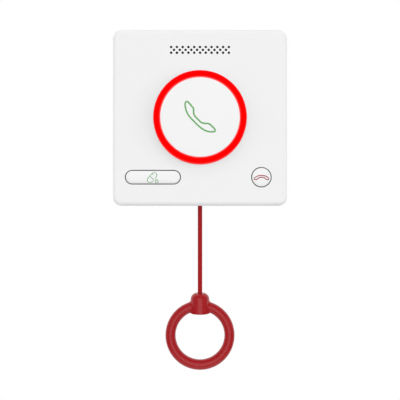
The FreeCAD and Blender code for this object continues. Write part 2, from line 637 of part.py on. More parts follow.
def make_rear_housing():
    body = new_body("rear_housing")
    outline = new_sketch(body, "rear_outline", "XZ_Plane")
    half_width, half_height = "plate_width / 2 - rear_inset", f"{HALF_HEIGHT} - rear_inset"
    draw_rounded_box(outline, "0", "0", half_width, half_height, "corner_radius - rear_inset")
    pad(body, outline, "seam_depth")
    lip = new_sketch(body, "rear_lip", "XZ_Plane", "seam_depth")
    lip_corner = "(corner_radius - side_wall - lip_gap)"
    draw_rounded_box(lip, "0", "0", LIP_HALF_WIDTH, LIP_HALF_HEIGHT, lip_corner)
    pad(body, lip, "lip_reach")
    hollow = new_sketch(body, "rear_hollow", "XZ_Plane", "rear_floor")
    inner = (f"{LIP_HALF_WIDTH} - lip_wall", f"{LIP_HALF_HEIGHT} - lip_wall", f"{lip_corner} - lip_wall")
    draw_rounded_box(hollow, "0", "0", *inner)
    pocket(body, hollow, "seam_depth + lip_reach - rear_floor")

    blocks = new_sketch(body, "rear_blocks", "XZ_Plane", "rear_floor")
    for side in (1, -1):
        left = f"({side}) * closing_side - block_half_width"
        right = f"({side}) * closing_side + block_half_width"
        top, foot = f"-{LIP_HALF_HEIGHT} + block_height", f"-{LIP_HALF_HEIGHT}"
        draw_outline(blocks, [(left, foot), (right, foot), (right, top), (left, top)])
    pad(body, blocks, "closing_depth + closing_radius + block_wall - rear_floor")
    pilots = new_sketch(body, "rear_pilots", "XY_Plane", f"-{LIP_HALF_HEIGHT}")
    for side in ("", "-"):
        draw_circle(pilots, f"{side}closing_side", "-closing_depth", "closing_radius + thread_gap")
    pocket(body, pilots, "closing_length + closing_spare")

    notch = new_sketch(body, "rear_lip_notch", "XZ_Plane", "seam_depth")
    half_notch = "(guide_bore + guide_tube_wall + lip_wall)"
    foot, top = f"-{LIP_HALF_HEIGHT}", f"lip_wall - {LIP_HALF_HEIGHT}"
    draw_outline(notch, [
        (f"-{half_notch}", foot),
        (half_notch, foot),
        (half_notch, top),
        (f"-{half_notch}", top),
    ])
    pocket(body, notch, "lip_reach")

    hooks = new_sketch(body, "rear_hooks", "XY_Plane", f"{LIP_HALF_HEIGHT} - lip_wall / 2")
    for side in (1, -1):
        draw_catch(hooks, side, "0")
    pad(body, hooks, "hook_reach + lip_wall / 2")

    rim = new_sketch(body, "rear_entry_rim", "XZ_Plane", "rear_floor")
    grown = ("entry_width / 2 + entry_rim", "entry_height / 2 + entry_rim", "entry_corner + entry_rim")
    draw_rounded_box(rim, "0", "-entry_drop", *grown)
    pad(body, rim, "entry_rim_height")
    window = new_sketch(body, "rear_entry", "XZ_Plane")
    draw_rounded_box(window, "0", "-entry_drop", "entry_width / 2", "entry_height / 2", "entry_corner")
    pocket(body, window, "rear_floor + entry_rim_height")

    slots = new_sketch(body, "rear_slots", "XZ_Plane")
    for side in ("", "-"):
        draw_pill(slots, f"{side}screw_spacing / 2", "0", "slot_length / 2", "slot_radius")
    pocket(body, slots, "rear_floor")
    return body


# Light ring and buttons


def make_light_ring():
    wide_bore = f"({RING_BORE} + ring_step)"
    rear = f"{BOARD_DEPTH} + lamp_height + lamp_gap"
    return turned_forward("light_ring", [
        (wide_bore, rear),
        (wide_bore, RING_STEP),
        (RING_BORE, RING_STEP),
        (RING_BORE, f"{RING_FRONT} - ring_edge"),
        (f"{RING_BORE} + ring_edge", RING_FRONT),
        ("ring_radius - ring_edge", RING_FRONT),
        ("ring_radius", f"{RING_FRONT} - ring_edge"),
        ("ring_radius", FACE_INNER),
        ("ring_radius + ring_flange", FACE_INNER),
        ("ring_radius + ring_flange", f"{FACE_INNER} - ring_flange_depth"),
        ("ring_radius", f"{FACE_INNER} - ring_flange_depth"),
        ("ring_radius", rear),
    ], z="-ring_drop")


def make_call_button():
    """A dished cap: crowned face, skirt with a flange behind the ring's step, stem and ribs."""
    radius = f"({RING_BORE} - call_gap)"
    edge = f"({RING_FRONT} - call_set_back)"
    flange = f"({RING_BORE} + ring_step - call_flange_gap)"
    inner = f"({radius} - call_wall)"
    roof = f"({edge} - call_wall)"
    face = f"({radius} - call_edge)"
    crown_radius = f"(({face} ^ 2 + call_crown ^ 2) / (2 * call_crown))"
    body = turned_forward("call_button", [
        ("0", DOME_TOP),
        ("0", f"{edge} + call_crown"),
        (face, edge, crown_radius, -1),
        (radius, f"{edge} - call_edge"),
        (radius, RING_STEP),
        (flange, RING_STEP),
        (flange, f"{RING_STEP} - call_flange_depth"),
        (inner, f"{RING_STEP} - call_flange_depth"),
        (inner, roof),
        ("call_stem_radius", roof),
        ("call_stem_radius", DOME_TOP),
    ], z="-ring_drop")
    rib = new_sketch(body, "call_rib", "XZ_Plane", f"{roof} - rib_height")
    half = "rib_wall / 2"
    draw_outline(rib, [
        ("call_stem_radius / 2", f"-{half}"),
        (f"{inner} + call_wall / 2", f"-{half}"),
        (f"{inner} + call_wall / 2", half),
        ("call_stem_radius / 2", half),
    ])
    first = pad(body, rib, "rib_height + call_wall / 2")
    ribs = body.newObject("PartDesign::PolarPattern", "call_ribs_round")
    ribs.Originals = [first]
    ribs.Axis = (rib, ["N_Axis"])
    ribs.Angle = 360
    bind(ribs, Occurrences="call_ribs")
    body.Tip = ribs
    doc.recompute()
    return body


def make_medication_button():
    """A pill-shaped cap with a pillowed face, cored out, on a flange with a stem."""
    body = new_body("medication_button", x=f"-{MEDICATION_LEFT}", z=f"-{BUTTON_DROP}")
    half_width, radius = "(medication_width / 2 - button_gap)", "(medication_height / 2 - button_gap)"
    front = f"({PLATE_DEPTH} + button_rise)"
    cap = new_sketch(body, "medication_cap", "XZ_Plane", BUTTON_FLANGE_REAR)
    draw_pill(cap, "0", "0", half_width, radius)
    pad(body, cap, f"{front} - {BUTTON_FLANGE_REAR}")
    fillet(body, "button_edge", lies_at_depth(front))
    flange = new_sketch(body, "medication_flange", "XZ_Plane", BUTTON_FLANGE_REAR)
    grown = ("medication_width / 2 + button_flange", "medication_height / 2 + button_flange")
    draw_pill(flange, "0", "0", *grown)
    pad(body, flange, "button_flange_depth")
    core = new_sketch(body, "medication_core", "XZ_Plane", BUTTON_FLANGE_REAR)
    draw_pill(core, "0", "0", f"{half_width} - button_wall", f"{radius} - button_wall")
    pocket(body, core, f"{front} - button_wall - {BUTTON_FLANGE_REAR}")
    stem = new_sketch(body, "medication_stem", "XZ_Plane", DOME_TOP)
    draw_circle(stem, "0", "0", "small_stem_radius")
    pad(body, stem, f"{front} - button_wall / 2 - {DOME_TOP}")
    return body


def make_hangup_button():
    """A round domed cap on a square flange, which its guide frame keeps from turning."""
    radius = "(hangup_radius - button_gap)"
    edge = f"({PLATE_DEPTH} + button_rise - button_crown)"
    crown_radius = f"(({radius} ^ 2 + button_crown ^ 2) / (2 * button_crown))"
    body = turned_forward("hangup_button", [
        ("0", DOME_TOP),
        ("0", f"{edge} + button_crown"),
        (radius, edge, crown_radius, -1),
        (radius, BUTTON_FLANGE_REAR),
        ("small_stem_radius", BUTTON_FLANGE_REAR),
        ("small_stem_radius", DOME_TOP),
    ], x=HANGUP_RIGHT, z=f"-{BUTTON_DROP}")
    flange = new_sketch(body, "hangup_flange", "XZ_Plane", BUTTON_FLANGE_REAR)
    square = "(hangup_radius + button_flange)"
    draw_rounded_box(flange, "0", "0", square, square, "flange_corner")
    pad(body, flange, "button_flange_depth")
    return body


def make_dome(label, stem_radius, x="0", z="0"):
    """A silicone dome on the board that carries a button's stem and springs back."""
    foot = f"({stem_radius} + dome_wall + dome_foot)"
    return turned_forward(label, [
        (f"{stem_radius} + dome_wall", BOARD_DEPTH),
        (foot, BOARD_DEPTH),
        (foot, f"{BOARD_DEPTH} + dome_foot_depth"),
        (f"{stem_radius} + 2 * dome_wall", f"{BOARD_DEPTH} + dome_foot_depth"),
        (stem_radius, f"{DOME_TOP} - dome_wall"),
        (stem_radius, DOME_TOP),
        ("0", DOME_TOP),
        ("0", f"{DOME_TOP} - dome_roof"),
        (f"{stem_radius} - dome_wall", f"{DOME_TOP} - dome_roof"),
    ], x=x, z=z)


# Board and what it carries


def make_main_board():
    """The board's outline has a notch at its foot, where the pull mechanism stands."""
    body = new_body("main_board")
    drawing = new_sketch(body, "board_outline", "XZ_Plane", BOARD_REAR)
    side = "(plate_width / 2 - side_wall - board_margin)"
    top = f"({INNER_TOP} - board_margin)"
    foot = f"({INNER_BOTTOM} + board_foot_margin)"
    draw_outline(drawing, [
        (f"-{side}", foot),
        ("-notch_half_width", foot),
        ("-notch_half_width", f"{BOTTOM} + notch_height"),
        ("notch_half_width", f"{BOTTOM} + notch_height"),
        ("notch_half_width", foot),
        (side, foot),
        (side, f"{top} - board_corner"),
        (f"{side} - board_corner", top, "board_corner", -1),
        (f"board_corner - {side}", top),
        (f"-{side}", f"{top} - board_corner", "board_corner", -1),
    ])
    pad(body, drawing, "board_thickness")
    holes = new_sketch(body, "board_holes", "XZ_Plane", BOARD_REAR)
    for x, z in BOARD_SCREWS:
        draw_circle(holes, x, z, "pilot_radius + screw_gap")
    pocket(body, holes, "board_thickness")
    return body


def make_ring_leds():
    """Lamps in a circle under the middle of the light ring's rear end."""
    body = new_body("ring_leds", z="-ring_drop")
    body.AllowCompound = True
    drawing = new_sketch(body, "lamp_outline", "XZ_Plane", BOARD_DEPTH)
    middle = f"({RING_BORE} + ring_step + ring_radius) / 2"
    half = "lamp_side / 2"
    draw_outline(drawing, [
        (f"{middle} - {half}", f"-{half}"),
        (f"{middle} + {half}", f"-{half}"),
        (f"{middle} + {half}", half),
        (f"{middle} - {half}", half),
    ])
    first = pad(body, drawing, "lamp_height")
    lamps = body.newObject("PartDesign::PolarPattern", "lamps_round")
    lamps.Originals = [first]
    lamps.Axis = (drawing, ["N_Axis"])
    lamps.Angle = 360
    bind(lamps, Occurrences="lamp_count")
    body.Tip = lamps
    doc.recompute()
    return body


def make_controller_chip():
    rear = f"-({BOARD_DEPTH} + chip_height)"
    x = "-(ring_radius + chip_clearance + chip_side)"
    sizes = {"Length": "chip_side", "Width": "chip_height", "Height": "chip_side"}
    chip = primitive("Part::Box", "controller_chip", x=x, y=rear, z="-chip_side / 2", **sizes)
    chip.Label = "controller_chip"
    return chip


def make_terminal_block():
    """Screw terminals on the board's rear face, with wire holes that face down."""
    body = primitive(
        "Part::Box", "terminal_body", x="-terminal_width / 2", y=f"-{BOARD_REAR}",
        z="terminal_up - terminal_height / 2", Length="terminal_width", Width="terminal_depth",
        Height="terminal_height",
    )
    ways = int(value("terminal_ways"))
    pitch = f"(terminal_width / {ways})"
    holes = []
    for way in range(ways):
        middle = f"{pitch} * {way + 0.5} - terminal_width / 2"
        wire = primitive("Part::Cylinder", f"terminal_wire_{way + 1}", x=middle,
                         y=f"-({BOARD_REAR} - wire_inset)", z="terminal_up - terminal_height / 2",
                         Radius="wire_radius", Height="wire_reach")
        screw = primitive("Part::Cylinder", f"terminal_screw_{way + 1}", x=middle,
                          y=f"-({BOARD_REAR} - terminal_depth)", z="terminal_up",
                          Radius="clamp_radius", Height="clamp_depth")
        holes += [wire, point_forward(screw)]
    fused = combine("Part::MultiFuse", "terminal_holes", holes[0], holes[1:])
    return combine("Part::Cut", "terminal_block", body, fused)


# Loudspeaker and microphone


def make_speaker():
    x, z = "-speaker_left", GRILLE_UP
    cloth = new_body("speaker_cloth", z=z)
    sheet_outline = new_sketch(cloth, "cloth_outline", "XZ_Plane", CLOTH_REAR)
    reach = "((row_hole_count - 1) / 2 * hole_pitch + cloth_margin)"
    draw_pill(sheet_outline, "0", "0", reach, CLOTH_HALF_HEIGHT)
    pad(cloth, sheet_outline, "cloth_thickness")

    gasket = turned_forward("speaker_gasket", [
        ("speaker_radius - gasket_width", GASKET_REAR),
        ("speaker_radius - gasket_width", CLOTH_REAR),
        ("speaker_radius", CLOTH_REAR),
        ("speaker_radius", GASKET_REAR),
    ], x=x, z=z)
    floor = f"({SPEAKER_REAR} + speaker_wall)"
    rim = f"({GASKET_REAR} - speaker_wall)"
    frame = turned_forward("speaker_frame", [
        ("magnet_radius", SPEAKER_REAR),
        ("magnet_radius", floor),
        ("speaker_radius - speaker_wall", floor),
        ("speaker_radius - speaker_wall", rim),
        ("speaker_radius - gasket_width", rim),
        ("speaker_radius - gasket_width", GASKET_REAR),
        ("speaker_radius", GASKET_REAR),
        ("speaker_radius", SPEAKER_REAR),
    ], x=x, z=z)
    magnet = turned_forward("speaker_magnet", [
        ("0", f"{SPEAKER_REAR} - magnet_depth"),
        ("magnet_radius", f"{SPEAKER_REAR} - magnet_depth"),
        ("magnet_radius", f"{floor} + speaker_wall / 2"),
        ("0", f"{floor} + speaker_wall / 2"),
    ], x=x, z=z)
    # The cone hangs from the frame's rim: a raised edge, a slope down to the coil and a dust cap
    outer = "(speaker_radius - gasket_width)"
    roll_end = f"({outer} - roll_width)"
    low = f"({rim} - cone_sink)"
    rising = [
        ("0", f"{low} + dust_cap_rise"),
        ("dust_cap_top", f"{low} + dust_cap_rise"),
        ("coil_radius", low),
        (roll_end, rim),
        (f"{roll_end} + (roll_width - roll_crest) / 2", f"{rim} + roll_rise"),
        (f"{outer} - (roll_width - roll_crest) / 2", f"{rim} + roll_rise"),
        (outer, rim),
        ("speaker_radius - speaker_wall", rim),
    ]
    underside = [(radius, f"{depth} - cone_thickness") for radius, depth in reversed(rising)]
    cone = turned_forward("speaker_cone", rising + underside, x=x, z=z)
    pad_block = turned_forward("speaker_pad", [
        ("0", BOARD_DEPTH),
        ("magnet_radius - speaker_wall", BOARD_DEPTH),
        ("magnet_radius - speaker_wall", f"{SPEAKER_REAR} - magnet_depth"),
        ("0", f"{SPEAKER_REAR} - magnet_depth"),
    ], x=x, z=z)
    return [cloth, gasket, frame, magnet, cone, pad_block]


def make_microphone():
    top = f"({BOARD_DEPTH} + microphone_height)"
    x, z = "microphone_right", GRILLE_UP
    capsule = turned_forward("microphone", [
        ("0", BOARD_DEPTH),
        ("microphone_radius", BOARD_DEPTH),
        ("microphone_radius", top),
        ("0", top),
    ], x=x, z=z)
    outer = "(microphone_radius + thread_gap + boot_wall)"
    boot = turned_forward("microphone_boot", [
        ("microphone_radius + thread_gap", BOARD_DEPTH),
        (outer, BOARD_DEPTH),
        (outer, f"{top} + boot_wall"),
        ("boot_bore + boot_wall", f"{top} + boot_wall * 2"),
        ("boot_bore + boot_wall", CLOTH_REAR),
        ("boot_bore", CLOTH_REAR),
        ("boot_bore", top),
        ("microphone_radius + thread_gap", top),
    ], x=x, z=z)
    return [capsule, boot]


# Pull mechanism


def make_pull_guide():
    """A cup for the slider and its spring, with two ears that are screwed to the cover."""
    outer = "(guide_bore + guide_tube_wall)"
    top = f"({SLIDER_TOP} - guide_rim_drop)"
    body = turned_upright("pull_guide", [
        ("bush_bore", GUIDE_BASE),
        (outer, GUIDE_BASE),
        (outer, top),
        ("guide_bore", top),
        ("guide_bore", SPRING_SEAT),
        ("bush_bore", SPRING_SEAT),
    ])
    ears = new_sketch(body, "pull_guide_ears", "XZ_Plane")
    low, high = f"{EAR_SCREW} - ear_height / 2", f"{EAR_SCREW} + ear_height / 2"
    for side in (1, -1):
        near, far = f"({side}) * (guide_bore + guide_tube_wall / 2)", f"({side}) * ear_half_width"
        draw_outline(ears, [(near, low), (far, low), (far, high), (near, high)])
    pad(body, ears, "ear_depth")
    holes = new_sketch(body, "pull_guide_holes", "XZ_Plane")
    for x, z in EAR_SCREWS:
        draw_circle(holes, x, z, "pilot_radius + screw_gap")
    pocket(body, holes, "ear_depth")
    return body


def make_pull_slider():
    """A flanged tube: the ball drops in from above and hangs in the socket at its lower end."""
    drop = f"sqrt({SOCKET_RADIUS} ^ 2 - socket_mouth ^ 2)"
    return turned_upright("pull_slider", [
        ("slider_radius", SLIDER_FOOT),
        ("slider_radius", SLIDER_FLANGE_BASE),
        ("slider_flange", SLIDER_FLANGE_BASE),
        ("slider_flange", SLIDER_TOP),
        (SOCKET_RADIUS, SLIDER_TOP),
        (SOCKET_RADIUS, PIVOT),
        ("socket_mouth", f"{PIVOT} - {drop}", SOCKET_RADIUS, 1),
        ("socket_mouth + socket_flare", SLIDER_FOOT),
    ])


def make_pull_spring():
    """A coil spring between the guide's floor and the slider's flange."""
    height = "spring_length - 2 * spring_wire"
    helix = primitive("Part::Helix", "pull_spring_line", y="-cord_depth", z=f"{SPRING_SEAT} + spring_wire",
                      Radius="spring_radius", Height=height, Pitch=f"({height}) / spring_turns")
    wire = primitive("Part::RegularPolygon", "pull_spring_section", Polygon="wire_sides",
                     Circumradius="spring_wire")
    wire.Placement.Rotation = FreeCAD.Rotation(FreeCAD.Vector(1, 0, 0), 90)
    place(wire, "spring_radius", "-cord_depth", f"{SPRING_SEAT} + spring_wire")
    spring = doc.addObject("Part::Sweep", "pull_spring")
    spring.Label = "pull_spring"
    spring.Sections = [wire]
    spring.Spine = helix
    spring.Solid = True
    spring.Frenet = True
    return spring


def make_pull_switch():
    """A sealed switch on the board whose pin rests on the slider's flange."""
    base = f"({SLIDER_TOP} + pin_reach)"
    case = primitive("Part::Box", "pull_switch_case", x="-switch_width / 2",
                     y=f"-({BOARD_DEPTH} + switch_depth)", z=base,
                     Length="switch_width", Width="switch_depth", Height="switch_height")
    pin = primitive("Part::Cylinder", "pull_switch_pin", y=f"-({BOARD_DEPTH} + pin_forward)",
                    z=SLIDER_TOP, Radius="pin_radius", Height="pin_reach + switch_height / 2")
    return combine("Part::MultiFuse", "pull_switch", case, [pin])


def make_cord_bushing():
    return turned_upright("cord_bushing", [
        ("bush_bore + bush_mouth", BOTTOM),
        ("bush_radius", BOTTOM),
        ("bush_radius", INNER_BOTTOM),
        ("bush_radius + bush_flange", INNER_BOTTOM),
        ("bush_radius + bush_flange", GUIDE_BASE),
        ("bush_bore", GUIDE_BASE),
        ("bush_bore", f"{BOTTOM} + bush_mouth"),
    ])


def make_cord_parts():
    """The cord hangs straight from the ball to the knot under the ring's hub."""
    flat = "sqrt(ball_radius ^ 2 - ball_flat ^ 2)"
    ball = turned_upright("cord_ball", [
        ("0", CORD_TOP),
        (flat, CORD_TOP),
        ("ball_radius", PIVOT, "ball_radius", -1),
        ("0", f"{PIVOT} + ball_radius", "ball_radius", -1),
    ])
    cord = primitive("Part::Cylinder", "pull_cord", y="-cord_depth", z=CORD_END,
                     Radius="cord_radius", Height=f"{CORD_TOP} - {CORD_END}")
    cord.Label = "pull_cord"
    waist = f"({CORD_END} - knot_height / 2)"
    knot = turned_upright("cord_knot", [
        ("0", CORD_END),
        ("0", f"{CORD_END} - knot_height"),
        ("knot_top_radius", f"{CORD_END} - knot_height"),
        ("knot_radius", f"{waist} - knot_waist / 2"),
        ("knot_radius", f"{waist} + knot_waist / 2"),
        ("knot_top_radius", CORD_END),
    ])
    return [ball, cord, knot]


def make_pull_ring():
    """A moulded ring whose round-shouldered hub blends into it and holds the cord's knot."""
    body = new_body("pull_ring", y="-cord_depth", z=RING_CENTRE)
    section = new_sketch(body, "ring_section", "XY_Plane")
    draw_circle(section, "pull_radius", "0", "pull_section")
    turn(body, section)
    top, foot = f"({HUB_TOP} - {RING_CENTRE})", f"({HUB_BOTTOM} - {RING_CENTRE})"
    hub = new_sketch(body, "ring_hub", "XZ_Plane")
    draw_outline(hub, [
        ("0", top),
        ("0", foot),
        ("hub_radius", foot),
        ("hub_radius", f"{top} - hub_shoulder"),
        ("hub_top_radius", f"{top} - hub_edge", "shoulder_radius", -1),
        ("hub_top_radius - hub_edge", top),
    ])
    turn(body, hub)
    lowest = value(foot) + 0.01
    shoulder = value(top) - value("hub_shoulder") - 0.01

    def where_hub_meets_ring(edge):
        box = edge.BoundBox
        between = lowest < box.ZMin and box.ZMax < shoulder
        return between and box.XLength > 0.1 and not isinstance(edge.Curve, Part.Circle)

    fillet(body, "hub_blend", where_hub_meets_ring)
    bore = new_sketch(body, "ring_bore_profile", "XZ_Plane")
    roof = f"({CHAMBER_TOP} - {RING_CENTRE})"
    draw_outline(bore, [
        ("0", f"{foot} - overcut"),
        ("chamber_radius", f"{foot} - overcut"),
        ("chamber_radius", roof),
        ("cord_radius + hub_gap", roof),
        ("cord_radius + hub_gap", f"{top} + overcut"),
        ("0", f"{top} + overcut"),
    ])
    turn(body, bore, "PartDesign::Groove")
    return body


# Fasteners


def make_screws(label, places, head_depth):
    """Identical screws that point out of the wall, as one group of separate solids."""
    screws = []
    for number, (x, z) in enumerate(places, 1):
        parts = [
            primitive("Part::Cylinder", f"{label}_head_{number}", x=x, z=z,
                      y=f"-({head_depth} - screw_head_depth)",
                      Radius="screw_head_radius", Height="screw_head_depth"),
            primitive("Part::Cylinder", f"{label}_shank_{number}", x=x, z=z, y=f"-({head_depth})",
                      Radius="pilot_radius - thread_gap", Height="screw_length"),
        ]
        recess = primitive("Part::Cylinder", f"{label}_recess_{number}", x=x, z=z,
                           y=f"-({head_depth} - screw_head_depth)",
                           Radius="recess_radius", Height="recess_depth")
        for part in (*parts, recess):
            point_forward(part)
        blank = combine("Part::MultiFuse", f"{label}_blank_{number}", parts[0], parts[1:])
        screws.append(combine("Part::Cut", f"{label}_{number}", blank, recess))
    return combine("Part::Compound", label, screws[0], screws[1:])


def make_closing_screws():
    """Screws that hold the cover to the rear shell, sunk flush in the bottom wall."""
    screws = []
    for number, side in enumerate(("", "-"), 1):
        x, y = f"{side}closing_side", "-closing_depth"
        head = primitive("Part::Cylinder", f"closing_head_{number}", x=x, y=y, z=BOTTOM,
                         Radius="closing_head_radius", Height="closing_head_depth")
        shank = primitive("Part::Cylinder", f"closing_shank_{number}", x=x, y=y,
                          z=f"{BOTTOM} + closing_head_depth",
                          Radius="closing_radius", Height="closing_length")
        recess = primitive("Part::Cylinder", f"closing_recess_{number}", x=x, y=y, z=BOTTOM,
                           Radius="recess_radius", Height="recess_depth")
        blank = combine("Part::MultiFuse", f"closing_blank_{number}", head, [shank])
        screws.append(combine("Part::Cut", f"closing_screw_{number}", blank, recess))
    return combine("Part::Compound", "closing_screws", screws[0], screws[1:])


def make_terminal():
    return [
        make_rear_housing(),
        make_front_cover(),
        make_light_ring(),
        make_call_button(),
        make_medication_button(),
        make_hangup_button(),
        make_dome("call_dome", "call_stem_radius", z="-ring_drop"),
        make_dome("medication_dome", "small_stem_radius", f"-{MEDICATION_LEFT}", f"-{BUTTON_DROP}"),
        make_dome("hangup_dome", "small_stem_radius", HANGUP_RIGHT, f"-{BUTTON_DROP}"),
        make_main_board(),
        make_ring_leds(),
        make_controller_chip(),
        make_terminal_block(),
        *make_speaker(),
        *make_microphone(),
        make_pull_guide(),
        make_pull_slider(),
        make_pull_spring(),
        make_pull_switch(),
        make_cord_bushing(),
        *make_cord_parts(),
        make_pull_ring(),
        make_screws("board_screws", BOARD_SCREWS, BOARD_REAR),
        make_screws("guide_screws", EAR_SCREWS, "cord_depth"),
        make_closing_screws(),
    ]


nodes = make_terminal()
doc.recompute()
for thing in doc.Objects:
    if {"Invalid", "Error"} & set(thing.State):
        raise RuntimeError(f"{thing.Name} failed: {thing.State}")
for node in nodes:
    if node.Shape.isNull() or not node.Shape.isValid():
        raise RuntimeError(f"{node.Label} has no valid shape")

os.makedirs("parts", exist_ok=True)
for node in nodes:
    node.Shape.exportStep(f"parts/{node.Label}.step")
    print(f"{node.Label}: {len(node.Shape.Solids)} solid(s), {node.Shape.Volume:.1f} mm3")
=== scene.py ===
import math

import bpy
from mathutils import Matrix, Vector


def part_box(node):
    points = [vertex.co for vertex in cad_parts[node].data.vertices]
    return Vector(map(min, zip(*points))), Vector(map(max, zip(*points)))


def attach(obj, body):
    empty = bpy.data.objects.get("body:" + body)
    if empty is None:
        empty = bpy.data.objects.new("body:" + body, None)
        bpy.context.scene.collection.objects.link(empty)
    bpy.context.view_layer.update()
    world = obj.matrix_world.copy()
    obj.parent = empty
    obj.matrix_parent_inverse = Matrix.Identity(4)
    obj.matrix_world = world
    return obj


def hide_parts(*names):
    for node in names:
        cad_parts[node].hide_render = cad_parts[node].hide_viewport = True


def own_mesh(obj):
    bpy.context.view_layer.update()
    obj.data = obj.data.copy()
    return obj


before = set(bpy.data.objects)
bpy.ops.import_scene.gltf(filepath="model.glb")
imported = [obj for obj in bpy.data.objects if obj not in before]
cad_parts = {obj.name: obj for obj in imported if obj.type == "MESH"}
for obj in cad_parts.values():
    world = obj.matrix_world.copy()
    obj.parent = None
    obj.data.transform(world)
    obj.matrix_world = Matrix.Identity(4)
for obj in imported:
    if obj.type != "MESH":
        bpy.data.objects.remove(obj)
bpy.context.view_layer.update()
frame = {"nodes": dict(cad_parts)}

# Looks of a wall-mounted call terminal. Metres, +Z up, the wall is y = 0 and the room is
# towards -Y, so a "depth" below is a distance from the wall and lies at y = -depth.
nodes = frame["nodes"]


def middle_of(node):
    low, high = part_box(node)
    return (low + high) / 2


MM = 0.001
FACE = -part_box("front_cover")[0].y
COVER_WALL = 2.2 * MM

# Light ring
RING = middle_of("light_ring")
RING_FRONT = -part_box("light_ring")[0].y
RING_REAR = -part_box("light_ring")[1].y
RING_FLANGE = 2.0 * MM
RING_FLANGE_THICKNESS = 1.5 * MM
RING_FLANGE_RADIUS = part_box("light_ring")[1].x
RING_EXTRA = 0.15 * MM
RING_FOOT = 0.2 * MM
RING_WALL = 4.65 * MM
RING_RADIUS = RING_FLANGE_RADIUS - RING_FLANGE + RING_EXTRA
RING_FOOT_RADIUS = RING_RADIUS + RING_FOOT
RING_BORE = RING_RADIUS - RING_WALL
RING_STEP = 1.55 * MM
RING_STEP_BACK = 8.5 * MM
RING_STEP_DEPTH = RING_FRONT - RING_STEP_BACK
RING_ROUNDING = 0.4 * MM
RING_FACETS = 160

# Glow of the ring: where it grows, as shares of the rise from the cover, and the width of its
# soft rims, with a painted paler glow at the bore and painted shade outside
GLOW_MIDDLE = 0.55
GLOW_SPREAD = 0.8
LENS_RIM = 0.9 * MM

# Call button
CALL_GAP = 0.15 * MM
CALL_SINK = 0.2 * MM
CALL_RADIUS = RING_BORE - CALL_GAP
CALL_EDGE = RING_FRONT - CALL_SINK
CALL_CROWN = 0.65 * MM
CALL_ROUNDING = 0.3 * MM
CALL_FLANGE_GAP = 0.3 * MM
CALL_FLANGE_RADIUS = RING_BORE + RING_STEP - CALL_FLANGE_GAP
CALL_FLANGE_THICKNESS = 1.6 * MM
CALL_WALL = 1.8 * MM
CALL_STEM_RADIUS = 4.0 * MM
CALL_STEM_REAR = -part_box("call_button")[1].y
CALL_RINGS = 12
CALL_FACETS = 128

# Speaker grille
GRILLE_HEIGHT = 46.2 * MM
GRILLE_PITCH = 3.95 * MM
GRILLE_ROW = 1.95 * MM
GRILLE_HALF = 5 * GRILLE_PITCH
# Painted shade round each hole: how far from the hole's middle it reaches, and how softly it ends
HOLE_SHADE_RADIUS = 0.86 * MM
HOLE_SHADE_SOFTNESS = 0.06 * MM
GRILLE_END_SOFTNESS = 1 * MM**2

# Painted shade in the cover's openings. They lie above and below the ring, within a square round
# it.
SHADE_START = 0.15 * MM
SHADE_SOFTNESS = 0.1 * MM
OPENINGS_FROM = 34 * MM
OPENINGS_TO = 55 * MM
OPENINGS_SOFTNESS = 10 * MM**2

# Small buttons
MEDICATION = middle_of("medication_button")
HANGUP = middle_of("hangup_button")
BUTTON_FRONT = -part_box("medication_button")[0].y
FLANGE_THICKNESS = 1.2 * MM
BUTTON_REAR = FACE - COVER_WALL - FLANGE_THICKNESS
PILL_HALF_WIDTH = 18.55 * MM
PILL_RADIUS = 4.35 * MM
PILL_FLANGE = 2.3 * MM
PILL_CROWN = 0.8 * MM
PILL_FACETS = 96
PILL_RINGS = 10
PILLOW_POWER = 4
HANGUP_RADIUS = 6.35 * MM
HANGUP_CROWN = 0.8 * MM
HANGUP_FLANGE_HALF = 8.8 * MM
HANGUP_FLANGE_CORNER = 0.4 * MM
HANGUP_RINGS = 14
HANGUP_FACETS = 96

# Silicone domes between the board and the buttons' stems
DOME_WALL = 0.9 * MM
DOME_FOOT = 1.4 * MM
DOME_FOOT_HEIGHT = 0.8 * MM
DOME_ROOF = 1.2 * MM
DOME_FOOT_ROUNDING = 0.3 * MM
DOME_TOP_ROUNDING = 0.2 * MM
DOME_FACETS = 64

# Pull spring
SPRING_WIRE = 0.4 * MM
SPRING_TURNS = 3.5
SPRING_POINTS = 24

# Pull cord
CORD_X, CORD_Y = 0.0, -14.0 * MM
CORD_RADIUS = 1.6 * MM
CORD_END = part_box("pull_cord")[0].z
KNOT_RADIUS = 2.9 * MM
KNOT_HEIGHT = 5.0 * MM
KNOT_STRAND = 0.95 * MM
KNOT_POINTS = 36

# Closing screws in the bottom wall
SCREW_HEAD_RADIUS = 2.7 * MM
SCREW_HEAD_HEIGHT = 1.3 * MM
SCREW_HEAD_ROUNDING = 0.2 * MM
SCREW_SHANK_RADIUS = 1.4 * MM
SCREW_SHANK_RUN = 0.2 * MM
CROSS_LENGTH = 2.8 * MM
CROSS_WIDTH = 0.6 * MM
CROSS_DEPTH = 0.8 * MM

# Colours, as linear values
WHITE_SHELL = (0.86, 0.86, 0.865)
WHITE_CAP = (0.87, 0.87, 0.87)
# Painted shade for gaps and openings
GAP_SHADE = (0.03, 0.03, 0.03)
LENS_DARK = (0.2, 0.0, 0.0)
LENS_PALE = (0.26, 0.002, 0.002)
LAMP_RED = (1.0, 0.0, 0.0)
